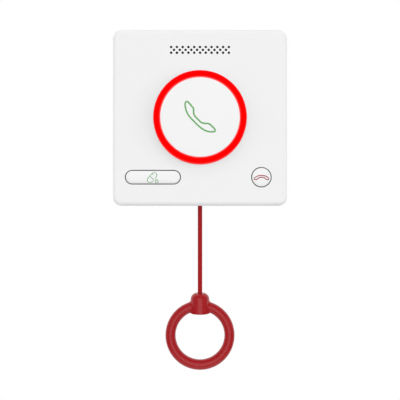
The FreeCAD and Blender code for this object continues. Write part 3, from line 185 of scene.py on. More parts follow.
# Glow of the lens: pale pink at its foot, a painted paler glow at the bore's rim, painted shade
# at the outer rim
LENS_FOOT_RED = (0.9, 0.22, 0.22)
BORE_RIM_GLOW_RED = (1.0, 0.12, 0.12)
OUTER_RIM_SHADE_RED = (0.6, 0.04, 0.04)
CALL_GREEN = (0.14, 0.42, 0.12)
PALE_GREEN = (0.18, 0.44, 0.19)
HANGUP_RED = (0.36, 0.015, 0.04)
CORD_RED = (0.375, 0.005, 0.008)
PULL_RING_RED = (0.38, 0.004, 0.008)
BLACK_PLASTIC = (0.025, 0.025, 0.027)
GREEN_PLASTIC = (0.07, 0.36, 0.16)
CREAM_ACETAL = (0.7, 0.69, 0.65)
GREY_SILICONE = (0.55, 0.55, 0.54)
LAMP_RESIN = (0.85, 0.75, 0.7)
STEEL_DARK = (0.5, 0.51, 0.53)
STEEL_PALE = (0.66, 0.67, 0.69)
BOARD_MASK = (0.02, 0.16, 0.07)
BOARD_TRACK = (0.06, 0.3, 0.13)
CLOTH_DARK = (0.006, 0.006, 0.006)
CLOTH_PALE = (0.022, 0.022, 0.022)
FOAM_DARK = (0.03, 0.03, 0.03)
FOAM_PALE = (0.09, 0.09, 0.09)
PAPER_DARK = (0.05, 0.05, 0.05)
PAPER_PALE = (0.13, 0.125, 0.12)

# Patterns in the finishes
FLOW_MARKS = 28 * MM
SHEEN_BLOTS = 2.2 * MM
SHEEN_SPREAD = 0.06
SHEATH_LINES = 17
SHEATH_TWIST = 40
CLOTH_THREAD = 0.3 * MM
FOAM_CELLS_IN_A_METRE = 2200.0


# Finishes


class Level:
    """A node's output, on which plain arithmetic adds Math nodes."""

    def __init__(self, nodes, socket):
        self.nodes = nodes
        self.socket = socket

    def math(self, operation, *terms):
        sockets = dict(enumerate(terms))
        return self.nodes.node("ShaderNodeMath", {"operation": operation}, sockets)

    def __add__(self, other):
        return self.math("ADD", self, other)

    def __radd__(self, other):
        return self.math("ADD", other, self)

    def __sub__(self, other):
        return self.math("SUBTRACT", self, other)

    def __rsub__(self, other):
        return self.math("SUBTRACT", other, self)

    def __mul__(self, other):
        return self.math("MULTIPLY", self, other)

    def __rmul__(self, other):
        return self.math("MULTIPLY", other, self)

    def __pow__(self, other):
        return self.math("POWER", self, other)

    def sine(self):
        return self.math("SINE", self)

    def above(self, edge, softness):
        """0 below an edge and 1 above it, with a soft step of that width between them."""
        settings = {"interpolation_type": "SMOOTHSTEP"}
        start, end = edge - softness / 2, edge + softness / 2
        sockets = {"Value": self, "From Min": start, "From Max": end}
        return self.nodes.node("ShaderNodeMapRange", settings, sockets)


class Nodes:
    """The nodes of a material or of the world."""

    def __init__(self, tree):
        self.tree = tree

    def node(self, kind, settings=None, sockets=None, out=0):
        made = self.tree.nodes.new(kind)
        for name, setting in (settings or {}).items():
            setattr(made, name, setting)
        for key, given in (sockets or {}).items():
            self.feed(made.inputs[key], given)
        return Level(self, made.outputs[out])

    def feed(self, socket, given):
        if isinstance(given, Level):
            self.tree.links.new(given.socket, socket)
        elif socket.type == "RGBA":
            socket.default_value = (*given, 1.0)
        else:
            socket.default_value = given

    def split(self, vector):
        """A vector's x, y and z as three levels."""
        first = self.node("ShaderNodeSeparateXYZ", None, {0: vector})
        return [Level(self, output) for output in first.socket.node.outputs]


class Finish(Nodes):
    """A material around one Principled shader, with patterns in real sizes."""

    def __init__(self, name):
        self.material = bpy.data.materials.new(name)
        self.material.use_nodes = True
        super().__init__(self.material.node_tree)
        self.shader = self.tree.nodes["Principled BSDF"]

    def place(self):
        return self.node("ShaderNodeTexCoord", out="Object")

    def noise(self, size, detail=2.0, roughness=0.5, stretch=None):
        """Cloudy noise from 0 to 1 whose blots are about that size."""
        where = self.place()
        if stretch:
            settings = {"operation": "MULTIPLY"}
            where = self.node("ShaderNodeVectorMath", settings, {0: where, 1: stretch})
        sockets = {"Vector": where, "Scale": 1 / size, "Detail": detail, "Roughness": roughness}
        return self.node("ShaderNodeTexNoise", None, sockets)

    def mix(self, factor, first, second):
        sockets = {0: factor, 6: first, 7: second}
        return self.node("ShaderNodeMix", {"data_type": "RGBA"}, sockets, out=2)

    def bump(self, height, distance):
        sockets = {"Height": height, "Distance": distance, "Strength": 1.0}
        return self.node("ShaderNodeBump", None, sockets)

    def paint(self, **channels):
        for name, given in channels.items():
            self.feed(self.shader.inputs[name.replace("_", " ")], given)
        return self.material


def darker(colour, share):
    """That share of a colour's light."""
    return tuple(part * share for part in colour)


def moulded_plastic(name, colour, roughness, grain, depth, drift=0.97, shade=None):
    """Moulded plastic: a fine eroded grain, faint flow marks and a slightly uneven sheen, and
    painted shade where a given shade mask falls.
    """
    finish = Finish(name)
    flow = finish.noise(FLOW_MARKS, detail=3.0)
    fine = finish.noise(grain, detail=2.0, roughness=0.6)
    sheen = roughness + SHEEN_SPREAD * (finish.noise(SHEEN_BLOTS) - 0.5)
    surface = finish.mix(flow, darker(colour, drift), colour)
    if shade:
        # Painted shade: the plastic turns dark where the shade mask falls
        surface = finish.mix(shade(*finish.split(finish.place())), surface, GAP_SHADE)
    return finish.paint(Base_Color=surface, Roughness=sheen, Normal=finish.bump(fine, depth))


def below_face(x, y, z):
    """What lies behind the cover's face, where a small cap gets painted shade, dark as in a gap.
    """
    return 1 - (-1 * y).above(FACE - SHADE_START, SHADE_SOFTNESS)


def in_openings(x, y, z):
    """Painted shade on the cover's wall inside its small openings and holes, and a dark rim of
    painted shade round each hole.
    """
    face_wall = (-1 * y).above(FACE - COVER_WALL - SHADE_SOFTNESS, SHADE_SOFTNESS)
    past_ring = (z * z).above(OPENINGS_FROM**2, OPENINGS_SOFTNESS)
    in_width = 1 - (x * x).above(OPENINGS_TO**2, OPENINGS_SOFTNESS)
    in_height = 1 - (z * z).above(OPENINGS_TO**2, OPENINGS_SOFTNESS)
    inside = below_face(x, y, z) * past_ring * in_width * in_height
    return face_wall * inside.math("MAXIMUM", inside, hole_rim_shade(x, z))


def hole_rim_shade(x, z):
    """Painted shade in a thin rim round each hole of the grille's three staggered rows."""
    along = x.math("PINGPONG", x, GRILLE_PITCH / 2)
    up = z - GRILLE_HEIGHT
    outer = up.math("ABSOLUTE", up) - GRILLE_ROW
    to_outer = (along * along + outer * outer) ** 0.5
    offset = GRILLE_PITCH / 2 - along
    to_middle = (offset * offset + up * up) ** 0.5
    nearest = to_outer.math("MINIMUM", to_outer, to_middle)
    in_width = 1 - (x * x).above((GRILLE_HALF + HOLE_SHADE_RADIUS) ** 2, GRILLE_END_SOFTNESS)
    return (1 - nearest.above(HOLE_SHADE_RADIUS, HOLE_SHADE_SOFTNESS)) * in_width


def lit_ring_finish():
    """An even glow that pales to pink down the side wall, with a painted paler glow at the bore's
    rim and painted shade at the outer rim.
    """
    finish = Finish("lit_red_lens")
    x, y, z = finish.split(finish.place())
    rise = RING_FRONT - FACE
    glow = (-1 * y).above(FACE + rise * GLOW_MIDDLE, rise * GLOW_SPREAD)
    right, up = x - RING.x, z - RING.z
    radius = (right * right + up * up) ** 0.5
    # Painted at the front's rims: a paler glow at the bore and shade at the outer edge
    bore_rim_glow = 1 - radius.above(RING_BORE + LENS_RIM / 2, LENS_RIM)
    outer_rim_shade = radius.above(RING_RADIUS - LENS_RIM / 2, LENS_RIM)
    front = finish.mix(bore_rim_glow, LAMP_RED, BORE_RIM_GLOW_RED)
    front = finish.mix(outer_rim_shade, front, OUTER_RIM_SHADE_RED)
    frost = finish.noise(0.5 * MM)
    return finish.paint(
        Base_Color=finish.mix(frost, LENS_DARK, LENS_PALE),
        Roughness=0.5 + 0.1 * frost,
        Emission_Color=finish.mix(glow, LENS_FOOT_RED, front),
        Emission_Strength=1.0,
        Specular_IOR_Level=0.0,
    )


def printed_ink(name, colour):
    """Pad-printed ink: flat, a little uneven and glossier than the plastic below it."""
    finish = Finish(name)
    cover = finish.noise(0.35 * MM, detail=3.0)
    return finish.paint(
        Base_Color=finish.mix(cover, darker(colour, 0.9), colour),
        Roughness=0.38 + 0.1 * cover,
        Normal=finish.bump(cover, 0.01 * MM),
    )


def red_sheath():
    """The cord's smooth sheath, with the faint lines that the die leaves along it."""
    finish = Finish("red_sheath")
    x, y, z = finish.split(finish.place())
    turned_by = (y - CORD_Y).math("ARCTAN2", y - CORD_Y, x - CORD_X)
    lines = (turned_by * SHEATH_LINES + SHEATH_TWIST * z).sine() * 0.5 + 0.5
    waves = finish.noise(1.5 * MM, stretch=(1, 1, 0.25))
    return finish.paint(
        Base_Color=finish.mix(waves, darker(CORD_RED, 0.88), CORD_RED),
        Roughness=0.3 + 0.08 * waves,
        Normal=finish.bump(lines * 0.4 + waves * 0.6, 0.012 * MM),
        Specular_IOR_Level=0.16,
    )


def ring_plastic():
    """Satin plastic of the pull ring, with scuffs where hands hold it."""
    finish = Finish("red_satin_plastic")
    cloud = finish.noise(9 * MM, detail=4.0)
    grain = finish.noise(0.4 * MM, detail=2.0)
    scuffs = finish.noise(4 * MM, detail=6.0, roughness=0.7, stretch=(1, 1, 6))
    return finish.paint(
        Base_Color=finish.mix(cloud, darker(PULL_RING_RED, 0.92), PULL_RING_RED),
        Roughness=0.27 + 0.06 * scuffs.above(0.62, 0.12) + 0.04 * cloud,
        Normal=finish.bump(grain, 0.004 * MM),
    )


def zinc_steel():
    """Zinc-plated steel with a faint brushed grain."""
    finish = Finish("zinc_steel")
    brushed = finish.noise(0.6 * MM, detail=3.0, stretch=(1, 1, 8))
    return finish.paint(
        Base_Color=finish.mix(brushed, STEEL_DARK, STEEL_PALE),
        Metallic=1.0,
        Roughness=0.3 + 0.14 * brushed,
        Normal=finish.bump(brushed, 0.01 * MM),
    )


def board_finish():
    """Green solder mask over copper tracks, which show as paler lines that step row by row."""
    finish = Finish("board_green_mask")
    x, _, z = finish.split(finish.place())
    flat = finish.node("ShaderNodeCombineXYZ", None, {"X": x, "Y": z})
    sockets = {
        "Vector": flat, "Scale": 1 / MM, "Brick Width": 9.0, "Row Height": 1.7,
        "Mortar Size": 0.24, "Mortar Smooth": 0.2,
    }
    settings = {"offset": 0.37, "squash": 0.6, "squash_frequency": 3}
    tracks = finish.node("ShaderNodeTexBrick", settings, sockets, out="Fac")
    return finish.paint(
        Base_Color=finish.mix(tracks, BOARD_MASK, BOARD_TRACK),
        Roughness=0.35 + 0.1 * finish.noise(0.4 * MM),
        Normal=finish.bump(tracks, 0.03 * MM),
    )


def woven_cloth():
    """Black acoustic cloth: two sets of fine threads."""
    finish = Finish("black_acoustic_cloth")
    x, _, z = finish.split(finish.place())
    thread = 2 * math.pi / CLOTH_THREAD
    weave = (x * thread).sine() * (z * thread).sine() * 0.5 + 0.5
    return finish.paint(
        Base_Color=finish.mix(weave, CLOTH_DARK, CLOTH_PALE),
        Roughness=0.95,
        Normal=finish.bump(weave, 0.05 * MM),
    )


def foam_finish():
    """Closed-cell foam of the speaker's gasket and pad."""
    finish = Finish("black_foam")
    sockets = {"Vector": finish.place(), "Scale": FOAM_CELLS_IN_A_METRE}
    cells = finish.node("ShaderNodeTexVoronoi", None, sockets)
    return finish.paint(
        Base_Color=finish.mix(cells, FOAM_DARK, FOAM_PALE),
        Roughness=0.95,
        Normal=finish.bump(cells, 0.1 * MM),
    )


def cone_paper():
    """Pressed paper of the speaker's cone, with its fibres."""
    finish = Finish("cone_paper")
    fibres = finish.noise(0.8 * MM, detail=6.0, roughness=0.7, stretch=(1, 4, 1))
    return finish.paint(
        Base_Color=finish.mix(fibres, PAPER_DARK, PAPER_PALE),
        Roughness=0.85,
        Normal=finish.bump(fibres, 0.04 * MM),
    )


# Modelling by hand


def fresh(add, name, **settings):
    """Add a primitive with nothing else selected, its place and turn in its mesh."""
    bpy.ops.object.select_all(action="DESELECT")
    add(**settings)
    piece = bpy.context.object
    piece.name = piece.data.name = name
    settle(piece)
    return piece


def select_only(*pieces):
    bpy.ops.object.select_all(action="DESELECT")
    for piece in pieces:
        piece.select_set(True)
    bpy.context.view_layer.objects.active = pieces[0]


def settle(piece):
    """Put the object at the origin with its place in its mesh."""
    select_only(piece)
    bpy.ops.object.transform_apply(location=True, rotation=True, scale=True)


def edit(piece, pick="VERT"):
    select_only(piece)
    bpy.ops.object.mode_set(mode="EDIT")
    bpy.ops.mesh.select_mode(type=pick)


def end_edit():
    bpy.ops.object.mode_set(mode="OBJECT")


def apply_modifier(piece, kind, name, **settings):
    select_only(piece)
    modifier = piece.modifiers.new(name, kind)
    for key, setting in settings.items():
        setattr(modifier, key, setting)
    bpy.ops.object.modifier_apply(modifier=name)


def weld(piece, other):
    """Make one closed shell of two that overlap."""
    apply_modifier(piece, "BOOLEAN", "weld", object=other, operation="UNION")
    bpy.data.objects.remove(other)


def smooth(piece, degrees=40):
    select_only(piece)
    bpy.ops.object.shade_smooth_by_angle(angle=math.radians(degrees))


def join(name, pieces):
    select_only(*pieces)
    bpy.ops.object.join()
    pieces[0].name = pieces[0].data.name = name
    return pieces[0]


def linked(name, data):
    """Put a new curve, camera or lamp into the scene."""
    made = bpy.data.objects.new(name, data)
    bpy.context.scene.collection.objects.link(made)
    return made


def meshed(line):
    """Turn a curve into its mesh."""
    select_only(line)
    bpy.ops.object.convert(target="MESH")
    return bpy.context.object


def give(piece, material, body):
    """Finish a piece: its material and the body it moves with."""
    piece.data.materials.clear()
    piece.data.materials.append(material)
    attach(piece, body)
    return piece


def turned(name, profile, x, z, steps):
    """Turn a profile of (radius, depth) points about an axis that points into the room."""
    points = [Vector((x + radius, -depth, z)) for radius, depth in profile]
    piece = fresh(bpy.ops.mesh.primitive_plane_add, name, size=MM)
    edit(piece)
    bpy.ops.mesh.select_all(action="SELECT")
    bpy.ops.mesh.merge(type="CENTER")
    bpy.ops.transform.translate(value=points[0])
    for before, after in zip(points, points[1:]):
        bpy.ops.mesh.extrude_region_move(TRANSFORM_OT_translate={"value": after - before})
    bpy.ops.mesh.select_all(action="SELECT")
    bpy.ops.mesh.spin(steps=steps, angle=math.tau, center=(x, 0, z), axis=(0, 1, 0))
    bpy.ops.mesh.select_all(action="SELECT")
    bpy.ops.mesh.remove_doubles(threshold=0.001 * MM)
    bpy.ops.mesh.normals_make_consistent(inside=False)
    end_edit()
    return piece


def grow_forward(height):
    """Extrude the selected faces by that much towards the room."""
    bpy.ops.mesh.extrude_region_move(TRANSFORM_OT_translate={"value": (0, -height, 0)})


def arc(centre, radius, start, end, steps):
    """Points along an arc about a centre, from one angle to another in degrees."""
    points = []
    for step in range(steps + 1):
        angle = math.radians(start + (end - start) * step / steps)
        across, up = radius * math.cos(angle), radius * math.sin(angle)
        points.append((centre[0] + across, centre[1] + up))
    return points


def bezier_through(spline, points, closed):
    spline.bezier_points.add(len(points) - 1)
    for knot, point in zip(spline.bezier_points, points):
        knot.co = point
        knot.handle_left_type = knot.handle_right_type = "AUTO"
    spline.use_cyclic_u = closed


def strand(name, points, radius, closed, steps):
    """A round strand as a mesh, along a smooth line that the points draw."""
    curve = bpy.data.curves.new(name, "CURVE")
    curve.dimensions = "3D"
    curve.resolution_u = steps
    curve.bevel_depth = radius
    curve.bevel_resolution = 3
    curve.use_fill_caps = True
    spline = curve.splines.new("NURBS")
    spline.points.add(len(points) - 1)
    for point, place in zip(spline.points, points):
        point.co = (*place, 1)
    spline.order_u = 3
    spline.use_endpoint_u = not closed
    spline.use_cyclic_u = closed
    piece = meshed(linked(name, curve))
    smooth(piece, degrees=80)
    return piece


def face_depth(button, x, z):
    """How far out of the wall a button's face stands at a place on it."""
    graph = bpy.context.evaluated_depsgraph_get()
    spot = button.ray_cast((x, -1, z), (0, 1, 0), depsgraph=graph)[1]
    return -spot.y


def ink_line(name, button, middle, points, width, closed=True):
    """A low ridge of ink through points of (x, z) in millimetres from a button's middle.

    It is drawn lying on its back, with the room upwards, and then tipped up onto the button.
    """
    bpy.ops.object.select_all(action="DESELECT")
    bpy.ops.curve.primitive_bezier_circle_add(radius=1)
    nib = bpy.context.object
    nib.scale = (width / 2, INK_HEIGHT, 1)
    nib.data.resolution_u = 3
    curve = bpy.data.curves.new(name, "CURVE")
    curve.dimensions = "3D"
    curve.twist_mode = "Z_UP"
    curve.resolution_u = 6
    curve.bevel_mode = "OBJECT"
    curve.bevel_object = nib
    curve.use_fill_caps = True
    places = []
    for right, up in points:
        x, z = middle.x + right * MM, middle.z + up * MM
        places.append((x, z, face_depth(button, x, z)))
    bezier_through(curve.splines.new("BEZIER"), places, closed)
    line = meshed(linked(name, curve))
    line.rotation_euler.x = math.pi / 2
    settle(line)
    bpy.data.objects.remove(nib)
    return line


# Pieces


def make_light_ring(finish):
    """The lens: a tube with a flange behind the cover and softly rounded front edges."""
    inner_face = FACE - COVER_WALL
    outer, bore, edge = RING_RADIUS, RING_BORE, RING_ROUNDING
    profile = [
        (bore + RING_STEP, RING_REAR),
        (bore + RING_STEP, RING_STEP_DEPTH),
        (bore, RING_STEP_DEPTH),
        *arc((bore + edge, RING_FRONT - edge), edge, 180, 90, steps=8),
        *arc((outer - edge, RING_FRONT - edge), edge, 90, 0, steps=8),
        (RING_FOOT_RADIUS, FACE),
        (RING_FOOT_RADIUS, inner_face),
        (RING_FLANGE_RADIUS, inner_face),
        (RING_FLANGE_RADIUS, inner_face - RING_FLANGE_THICKNESS),
        (outer, inner_face - RING_FLANGE_THICKNESS),
        (outer, RING_REAR),
        (bore + RING_STEP, RING_REAR),
    ]
    ring = turned("light_ring_lens", profile, RING.x, RING.z, RING_FACETS)
    ring.visible_diffuse = False
    smooth(ring)
    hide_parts("light_ring")
    return give(ring, finish, "housing")


def make_call_button(finish):
    """A crowned cap with a rounded edge, a skirt, a flange and a stem."""
    flat_radius = CALL_RADIUS - CALL_ROUNDING
    crown = []
    for ring in range(CALL_RINGS + 1):
        share = ring / CALL_RINGS
        crown.append((flat_radius * share, CALL_EDGE + CALL_CROWN * (1 - share**2)))
    roof = CALL_EDGE - CALL_WALL
    inner = CALL_RADIUS - CALL_WALL
    profile = [
        *crown,
        *arc((flat_radius, CALL_EDGE - CALL_ROUNDING), CALL_ROUNDING, 80, 0, steps=6),
        (CALL_RADIUS, RING_STEP_DEPTH),
        (CALL_FLANGE_RADIUS, RING_STEP_DEPTH),
        (CALL_FLANGE_RADIUS, RING_STEP_DEPTH - CALL_FLANGE_THICKNESS),
        (inner, RING_STEP_DEPTH - CALL_FLANGE_THICKNESS),
        (inner, roof),
        (CALL_STEM_RADIUS, roof),
        (CALL_STEM_RADIUS, CALL_STEM_REAR),
        (0, CALL_STEM_REAR),
    ]
    button = turned("call_button_cap", profile, RING.x, RING.z, CALL_FACETS)
    smooth(button)
    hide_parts("call_button")
    return give(button, finish, "call_cap")


def make_medication_button(finish):
    """A pill-shaped cap: a circle pulled apart, extruded, then inset ring by ring to a pillow."""
    half_step = math.pi / PILL_FACETS
    cap = fresh(
        bpy.ops.mesh.primitive_circle_add, "medication_button_cap", vertices=PILL_FACETS,
        radius=PILL_RADIUS + PILL_FLANGE, fill_type="NGON",
        location=(MEDICATION.x, -BUTTON_REAR, MEDICATION.z),
        rotation=(math.pi / 2, half_step, 0),
    )
    run = PILL_HALF_WIDTH - PILL_RADIUS
    for side in (1, -1):
        edit(cap)
        bpy.ops.mesh.select_all(action="DESELECT")
        end_edit()
        for vertex in cap.data.vertices:
            vertex.select = (vertex.co.x - MEDICATION.x) * side > 0
        edit(cap)
        bpy.ops.transform.translate(value=(side * run, 0, 0))
        end_edit()
    edit(cap, pick="FACE")
    bpy.ops.mesh.select_all(action="SELECT")
    grow_forward(FLANGE_THICKNESS)
    bpy.ops.mesh.inset(thickness=PILL_FLANGE, depth=0)
    grow_forward(BUTTON_FRONT - PILL_CROWN - BUTTON_REAR - FLANGE_THICKNESS)
    inset_before = height_before = 0.0
    for ring in range(1, PILL_RINGS):
        share = math.cos(math.pi / 2 * ring / PILL_RINGS)
        inset, height = PILL_RADIUS * (1 - share), PILL_CROWN * (1 - share**PILLOW_POWER)
        bpy.ops.mesh.inset(thickness=inset - inset_before, depth=height - height_before)
        inset_before, height_before = inset, height
    end_edit()
    smooth(cap)
    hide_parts("medication_button")
    return give(cap, finish, "medication_cap")


def make_hangup_button(finish):
    """A round domed cap on its square flange."""
    crown = []
    for ring in range(HANGUP_RINGS + 1):
        share = math.sin(math.pi / 2 * ring / HANGUP_RINGS)
        height = BUTTON_FRONT - HANGUP_CROWN * share**PILLOW_POWER
        crown.append((HANGUP_RADIUS * share, height))
    profile = [*crown, (HANGUP_RADIUS, BUTTON_REAR), (0, BUTTON_REAR)]
    cap = turned("hangup_button_cap", profile, HANGUP.x, HANGUP.z, HANGUP_FACETS)
    flange = fresh(
        bpy.ops.mesh.primitive_cube_add, "hangup_flange", size=1,
        location=(HANGUP.x, -BUTTON_REAR - FLANGE_THICKNESS / 2, HANGUP.z),
        scale=(2 * HANGUP_FLANGE_HALF, FLANGE_THICKNESS, 2 * HANGUP_FLANGE_HALF),
    )
    apply_modifier(flange, "BEVEL", "corners", width=HANGUP_FLANGE_CORNER, segments=3)
    weld(cap, flange)
    smooth(cap)
    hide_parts("hangup_button")
    return give(cap, finish, "hangup_cap")


def make_dome(button, finish):
    """A silicone dome on the board, under the button's stem."""
    node = button + "_dome"
    low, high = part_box(node)
    board, top = -high.y, -low.y
    foot = (high.x - low.x) / 2
    stem = foot - DOME_FOOT - DOME_WALL
    ledge = board + DOME_FOOT_HEIGHT
    shoulder = (stem - DOME_TOP_ROUNDING, top - DOME_TOP_ROUNDING)
    toe = (foot - DOME_FOOT_ROUNDING, ledge - DOME_FOOT_ROUNDING)
    profile = [
        (0, top),
        *arc(shoulder, DOME_TOP_ROUNDING, 90, 0, steps=4),
        (stem, top - DOME_WALL),
        (stem + 2 * DOME_WALL, ledge),
        *arc(toe, DOME_FOOT_ROUNDING, 90, 0, steps=4),
        (foot, board),
        (stem + DOME_WALL, board),
        (stem - DOME_WALL, top - DOME_ROOF),
        (0, top - DOME_ROOF),
    ]
    middle = middle_of(node)
    dome = turned(button + "_silicone_dome", profile, middle.x, middle.z, DOME_FACETS)
    smooth(dome)
    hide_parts(node)
    give(dome, finish, "housing")
    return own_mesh(dome)


def make_pull_spring(finish):
    """The coil spring round the cord's line."""
    low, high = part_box("pull_spring")
    radius = (high.x - low.x) / 2 - SPRING_WIRE
    height = high.z - low.z
    count = int(SPRING_TURNS * SPRING_POINTS)
    points = []
    for number in range(count + 1):
        angle = math.tau * number / SPRING_POINTS
        x, y = CORD_X + radius * math.cos(angle), CORD_Y + radius * math.sin(angle)
        points.append((x, y, low.z + SPRING_WIRE + (height - 2 * SPRING_WIRE) * number / count))
    spring = strand("pull_coil_spring", points, SPRING_WIRE, closed=False, steps=2)
    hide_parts("pull_spring")
    give(spring, finish, "housing")
    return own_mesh(spring)


# Printed icons: points of (right, up) in millimetres from a button's middle
INK_HEIGHT = 0.035 * MM
HANDSET_LINE = 1.12 * MM
SMALL_LINE = 0.58 * MM
HANGUP_LINE = 0.7 * MM
SHINE_LINE = 0.4 * MM
HANDSET = [
    (-8.7, 10.3), (-7.6, 9.5), (-6.4, 8.1), (-5.4, 6.9), (-4.5, 5.8), (-4.3, 4.5), (-4.3, 3.1),
    (-4.1, 1.8), (-3.4, 0.4), (-2.3, -0.8), (-1.0, -2.1), (0.4, -3.5), (1.8, -4.2), (3.5, -4.5),
    (5.1, -4.5), (6.3, -4.9), (7.4, -5.7), (8.6, -6.9), (9.7, -8.0), (10.1, -8.8), (10.1, -9.6),
    (9.5, -10.0), (8.2, -10.1), (6.2, -10.0), (4.5, -9.6), (2.7, -8.8), (1.1, -7.8), (-0.6, -6.4),
    (-2.6, -4.5), (-4.6, -2.5), (-6.6, -0.4), (-8.2, 1.8), (-9.1, 3.8), (-9.7, 5.8), (-10.0, 7.9),
    (-9.9, 9.2), (-9.5, 10.0),
]
CAPSULE_RADIUS = 1.76
CAPSULE_TURN = 137
CAPSULE = [
    *arc((-1.93, -1.88), CAPSULE_RADIUS, CAPSULE_TURN, CAPSULE_TURN + 180, steps=8),
    *arc((1.02, 1.28), CAPSULE_RADIUS, CAPSULE_TURN - 180, CAPSULE_TURN, steps=8),
]
CAPSULE_BAND = [(-1.9, 0.6), (0.7, -1.85)]
CAPSULE_SHINE = [(-0.35, 1.65), (0.1, 1.95), (0.55, 2.05)]
TABLET = [
    (1.76, -3.4), (1.76, -2.6), (2.05, -1.95), (2.6, -1.7), (3.15, -1.95),
    (3.44, -2.6), (3.44, -3.4), (3.2, -3.62), (2.6, -3.65), (2.0, -3.62),
]
HANGUP_HALF = [
    (0.0, 1.13), (1.7, 1.02), (2.66, 0.71), (3.34, 0.42), (4.16, -0.21), (4.74, -0.84),
    (4.84, -1.4), (4.3, -1.67), (3.41, -1.56), (2.6, -1.09), (1.9, -0.49), (1.1, -0.21),
    (0.0, -0.18),
]


def make_handset_icon(finish, button):
    """The outline of a telephone handset on the call button."""
    icon = ink_line("handset_icon", button, RING, HANDSET, HANDSET_LINE)
    smooth(icon, degrees=80)
    return give(icon, finish, "call_cap")


def make_pill_icon(finish, button):
    """A capsule with its band and a shine, and a small tablet, on the medication button."""
    icon = join("pill_icon", [
        ink_line("capsule", button, MEDICATION, CAPSULE, SMALL_LINE),
        ink_line("capsule_band", button, MEDICATION, CAPSULE_BAND, SMALL_LINE, closed=False),
        ink_line("capsule_shine", button, MEDICATION, CAPSULE_SHINE, SHINE_LINE, closed=False),
        ink_line("tablet", button, MEDICATION, TABLET, SMALL_LINE),
    ])
    smooth(icon, degrees=80)
    return give(icon, finish, "medication_cap")


def make_hangup_icon(finish, button):
    """The outline of a handset lying on its hook, on the round button."""
    mirrored = [(-right, up) for right, up in reversed(HANGUP_HALF[1:-1])]
    icon = ink_line("hangup_icon", button, HANGUP, HANGUP_HALF + mirrored, HANGUP_LINE)
    smooth(icon, degrees=80)
    return give(icon, finish, "hangup_cap")


# Pull cord: the straight run of the construction, with a point near each end
CORD_ROUTE = [
    (0, -0.014, -0.0551),
    (0, -0.014, -0.0740),
    (0, -0.014, -0.0916),
    (0, -0.014, -0.1092),
    (0, -0.014, -0.1281),
]


def make_cord(finish, knot):
    """The smooth cord; the knot and the ball on its ends are pieces of their own."""
    line = bpy.data.curves.new("pull_cord_line", "CURVE")
    line.dimensions = "3D"
    spline = line.splines.new("NURBS")
    spline.points.add(len(CORD_ROUTE) - 1)
    for point, place in zip(spline.points, CORD_ROUTE):
        point.co = (*place, 1)
    spline.order_u = 3
    spline.use_endpoint_u = True
    line.resolution_u = 12
    line.bevel_depth = CORD_RADIUS
    line.bevel_resolution = 8
    line.use_fill_caps = True
    cord = linked("pull_cord_line", line)
    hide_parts("pull_cord")
    give(cord, finish, "cord")
    return cord


def make_knot(finish):
    """The cord's end tied in a tight overhand knot, inside the hub."""
    # The line swings out to three times this, so its strand fills the knot's radius.
    across = (KNOT_RADIUS - KNOT_STRAND) / 3
    upright = KNOT_HEIGHT / 2 - KNOT_STRAND
    points = []
    for number in range(KNOT_POINTS):
        angle = math.tau * number / KNOT_POINTS
        x = across * (math.sin(angle) + 2 * math.sin(2 * angle))
        y = across * (math.cos(angle) - 2 * math.cos(2 * angle))
        z = upright * -math.sin(3 * angle)
        points.append((CORD_X + x, CORD_Y + y, CORD_END - KNOT_HEIGHT / 2 + z))
    knot = strand("cord_knot_turns", points, KNOT_STRAND, closed=True, steps=12)
    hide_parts("cord_knot")
    return give(knot, finish, "cord")


def make_closing_screws(finish):
    """Two screws sunk into the bottom wall, each with a cross recess in its head."""
    low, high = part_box("closing_screws")
    y = (low.y + high.y) / 2
    length = high.z - low.z - SCREW_HEAD_HEIGHT + SCREW_SHANK_RUN
    heads = []
    for x in (low.x + SCREW_HEAD_RADIUS, high.x - SCREW_HEAD_RADIUS):
        head = fresh(
            bpy.ops.mesh.primitive_cylinder_add, "closing_screw_head", vertices=48,
            radius=SCREW_HEAD_RADIUS, depth=SCREW_HEAD_HEIGHT,
            location=(x, y, low.z + SCREW_HEAD_HEIGHT / 2),
        )
        apply_modifier(head, "BEVEL", "rim", width=SCREW_HEAD_ROUNDING, segments=3)
        for size in ((CROSS_WIDTH, CROSS_LENGTH), (CROSS_LENGTH, CROSS_WIDTH)):
            cutter = fresh(
                bpy.ops.mesh.primitive_cube_add, "cross_cutter", size=1,
                location=(x, y, low.z), scale=(*size, 2 * CROSS_DEPTH),
            )
            apply_modifier(head, "BOOLEAN", "cross", object=cutter, operation="DIFFERENCE")
            bpy.data.objects.remove(cutter)
        shank = fresh(
            bpy.ops.mesh.primitive_cylinder_add, "closing_screw_shank", vertices=32,
            radius=SCREW_SHANK_RADIUS, depth=length, location=(x, y, high.z - length / 2),
        )
        weld(head, shank)
        heads.append(head)
    screws = join("closing_screw_pair", heads)
    smooth(screws, degrees=30)
    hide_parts("closing_screws")
    return give(screws, finish, "housing")


# Studio
CAMERA_PLACE = Vector((0, -0.408, -0.0565))
LAMP_AIM = Vector((0, -0.01, -0.02))
FLOOR_LEVEL = -0.3
FLOOR_RADIUS = 0.26
FLOOR_FADE_MIDDLE = 0.72
FLOOR_FADE_SPREAD = 0.5
FLOOR_COLOUR = (0.85, 0.85, 0.85)
AIR_LIGHT = 0.36
SIDE_LIGHT = 1.5
SKY_LIGHT = 0.55
REAR_LIGHT = 1.3
REAR_EDGE = 0.3
REAR_SOFTNESS = 0.8
ROOM_LIGHT = 0.06
MIRRORED_EDGE = 0.1
MIRRORED_SOFTNESS = 0.2


def make_camera():
    """A normal lens straight in front of the terminal."""
    camera = bpy.data.cameras.new("front_camera")
    camera.lens = 50
    camera.sensor_width = 36
    camera.clip_start = 0.01
    viewer = linked("front_camera", camera)
    viewer.location = CAMERA_PLACE
    viewer.rotation_euler = (math.pi / 2, 0, 0)
    bpy.context.scene.camera = viewer


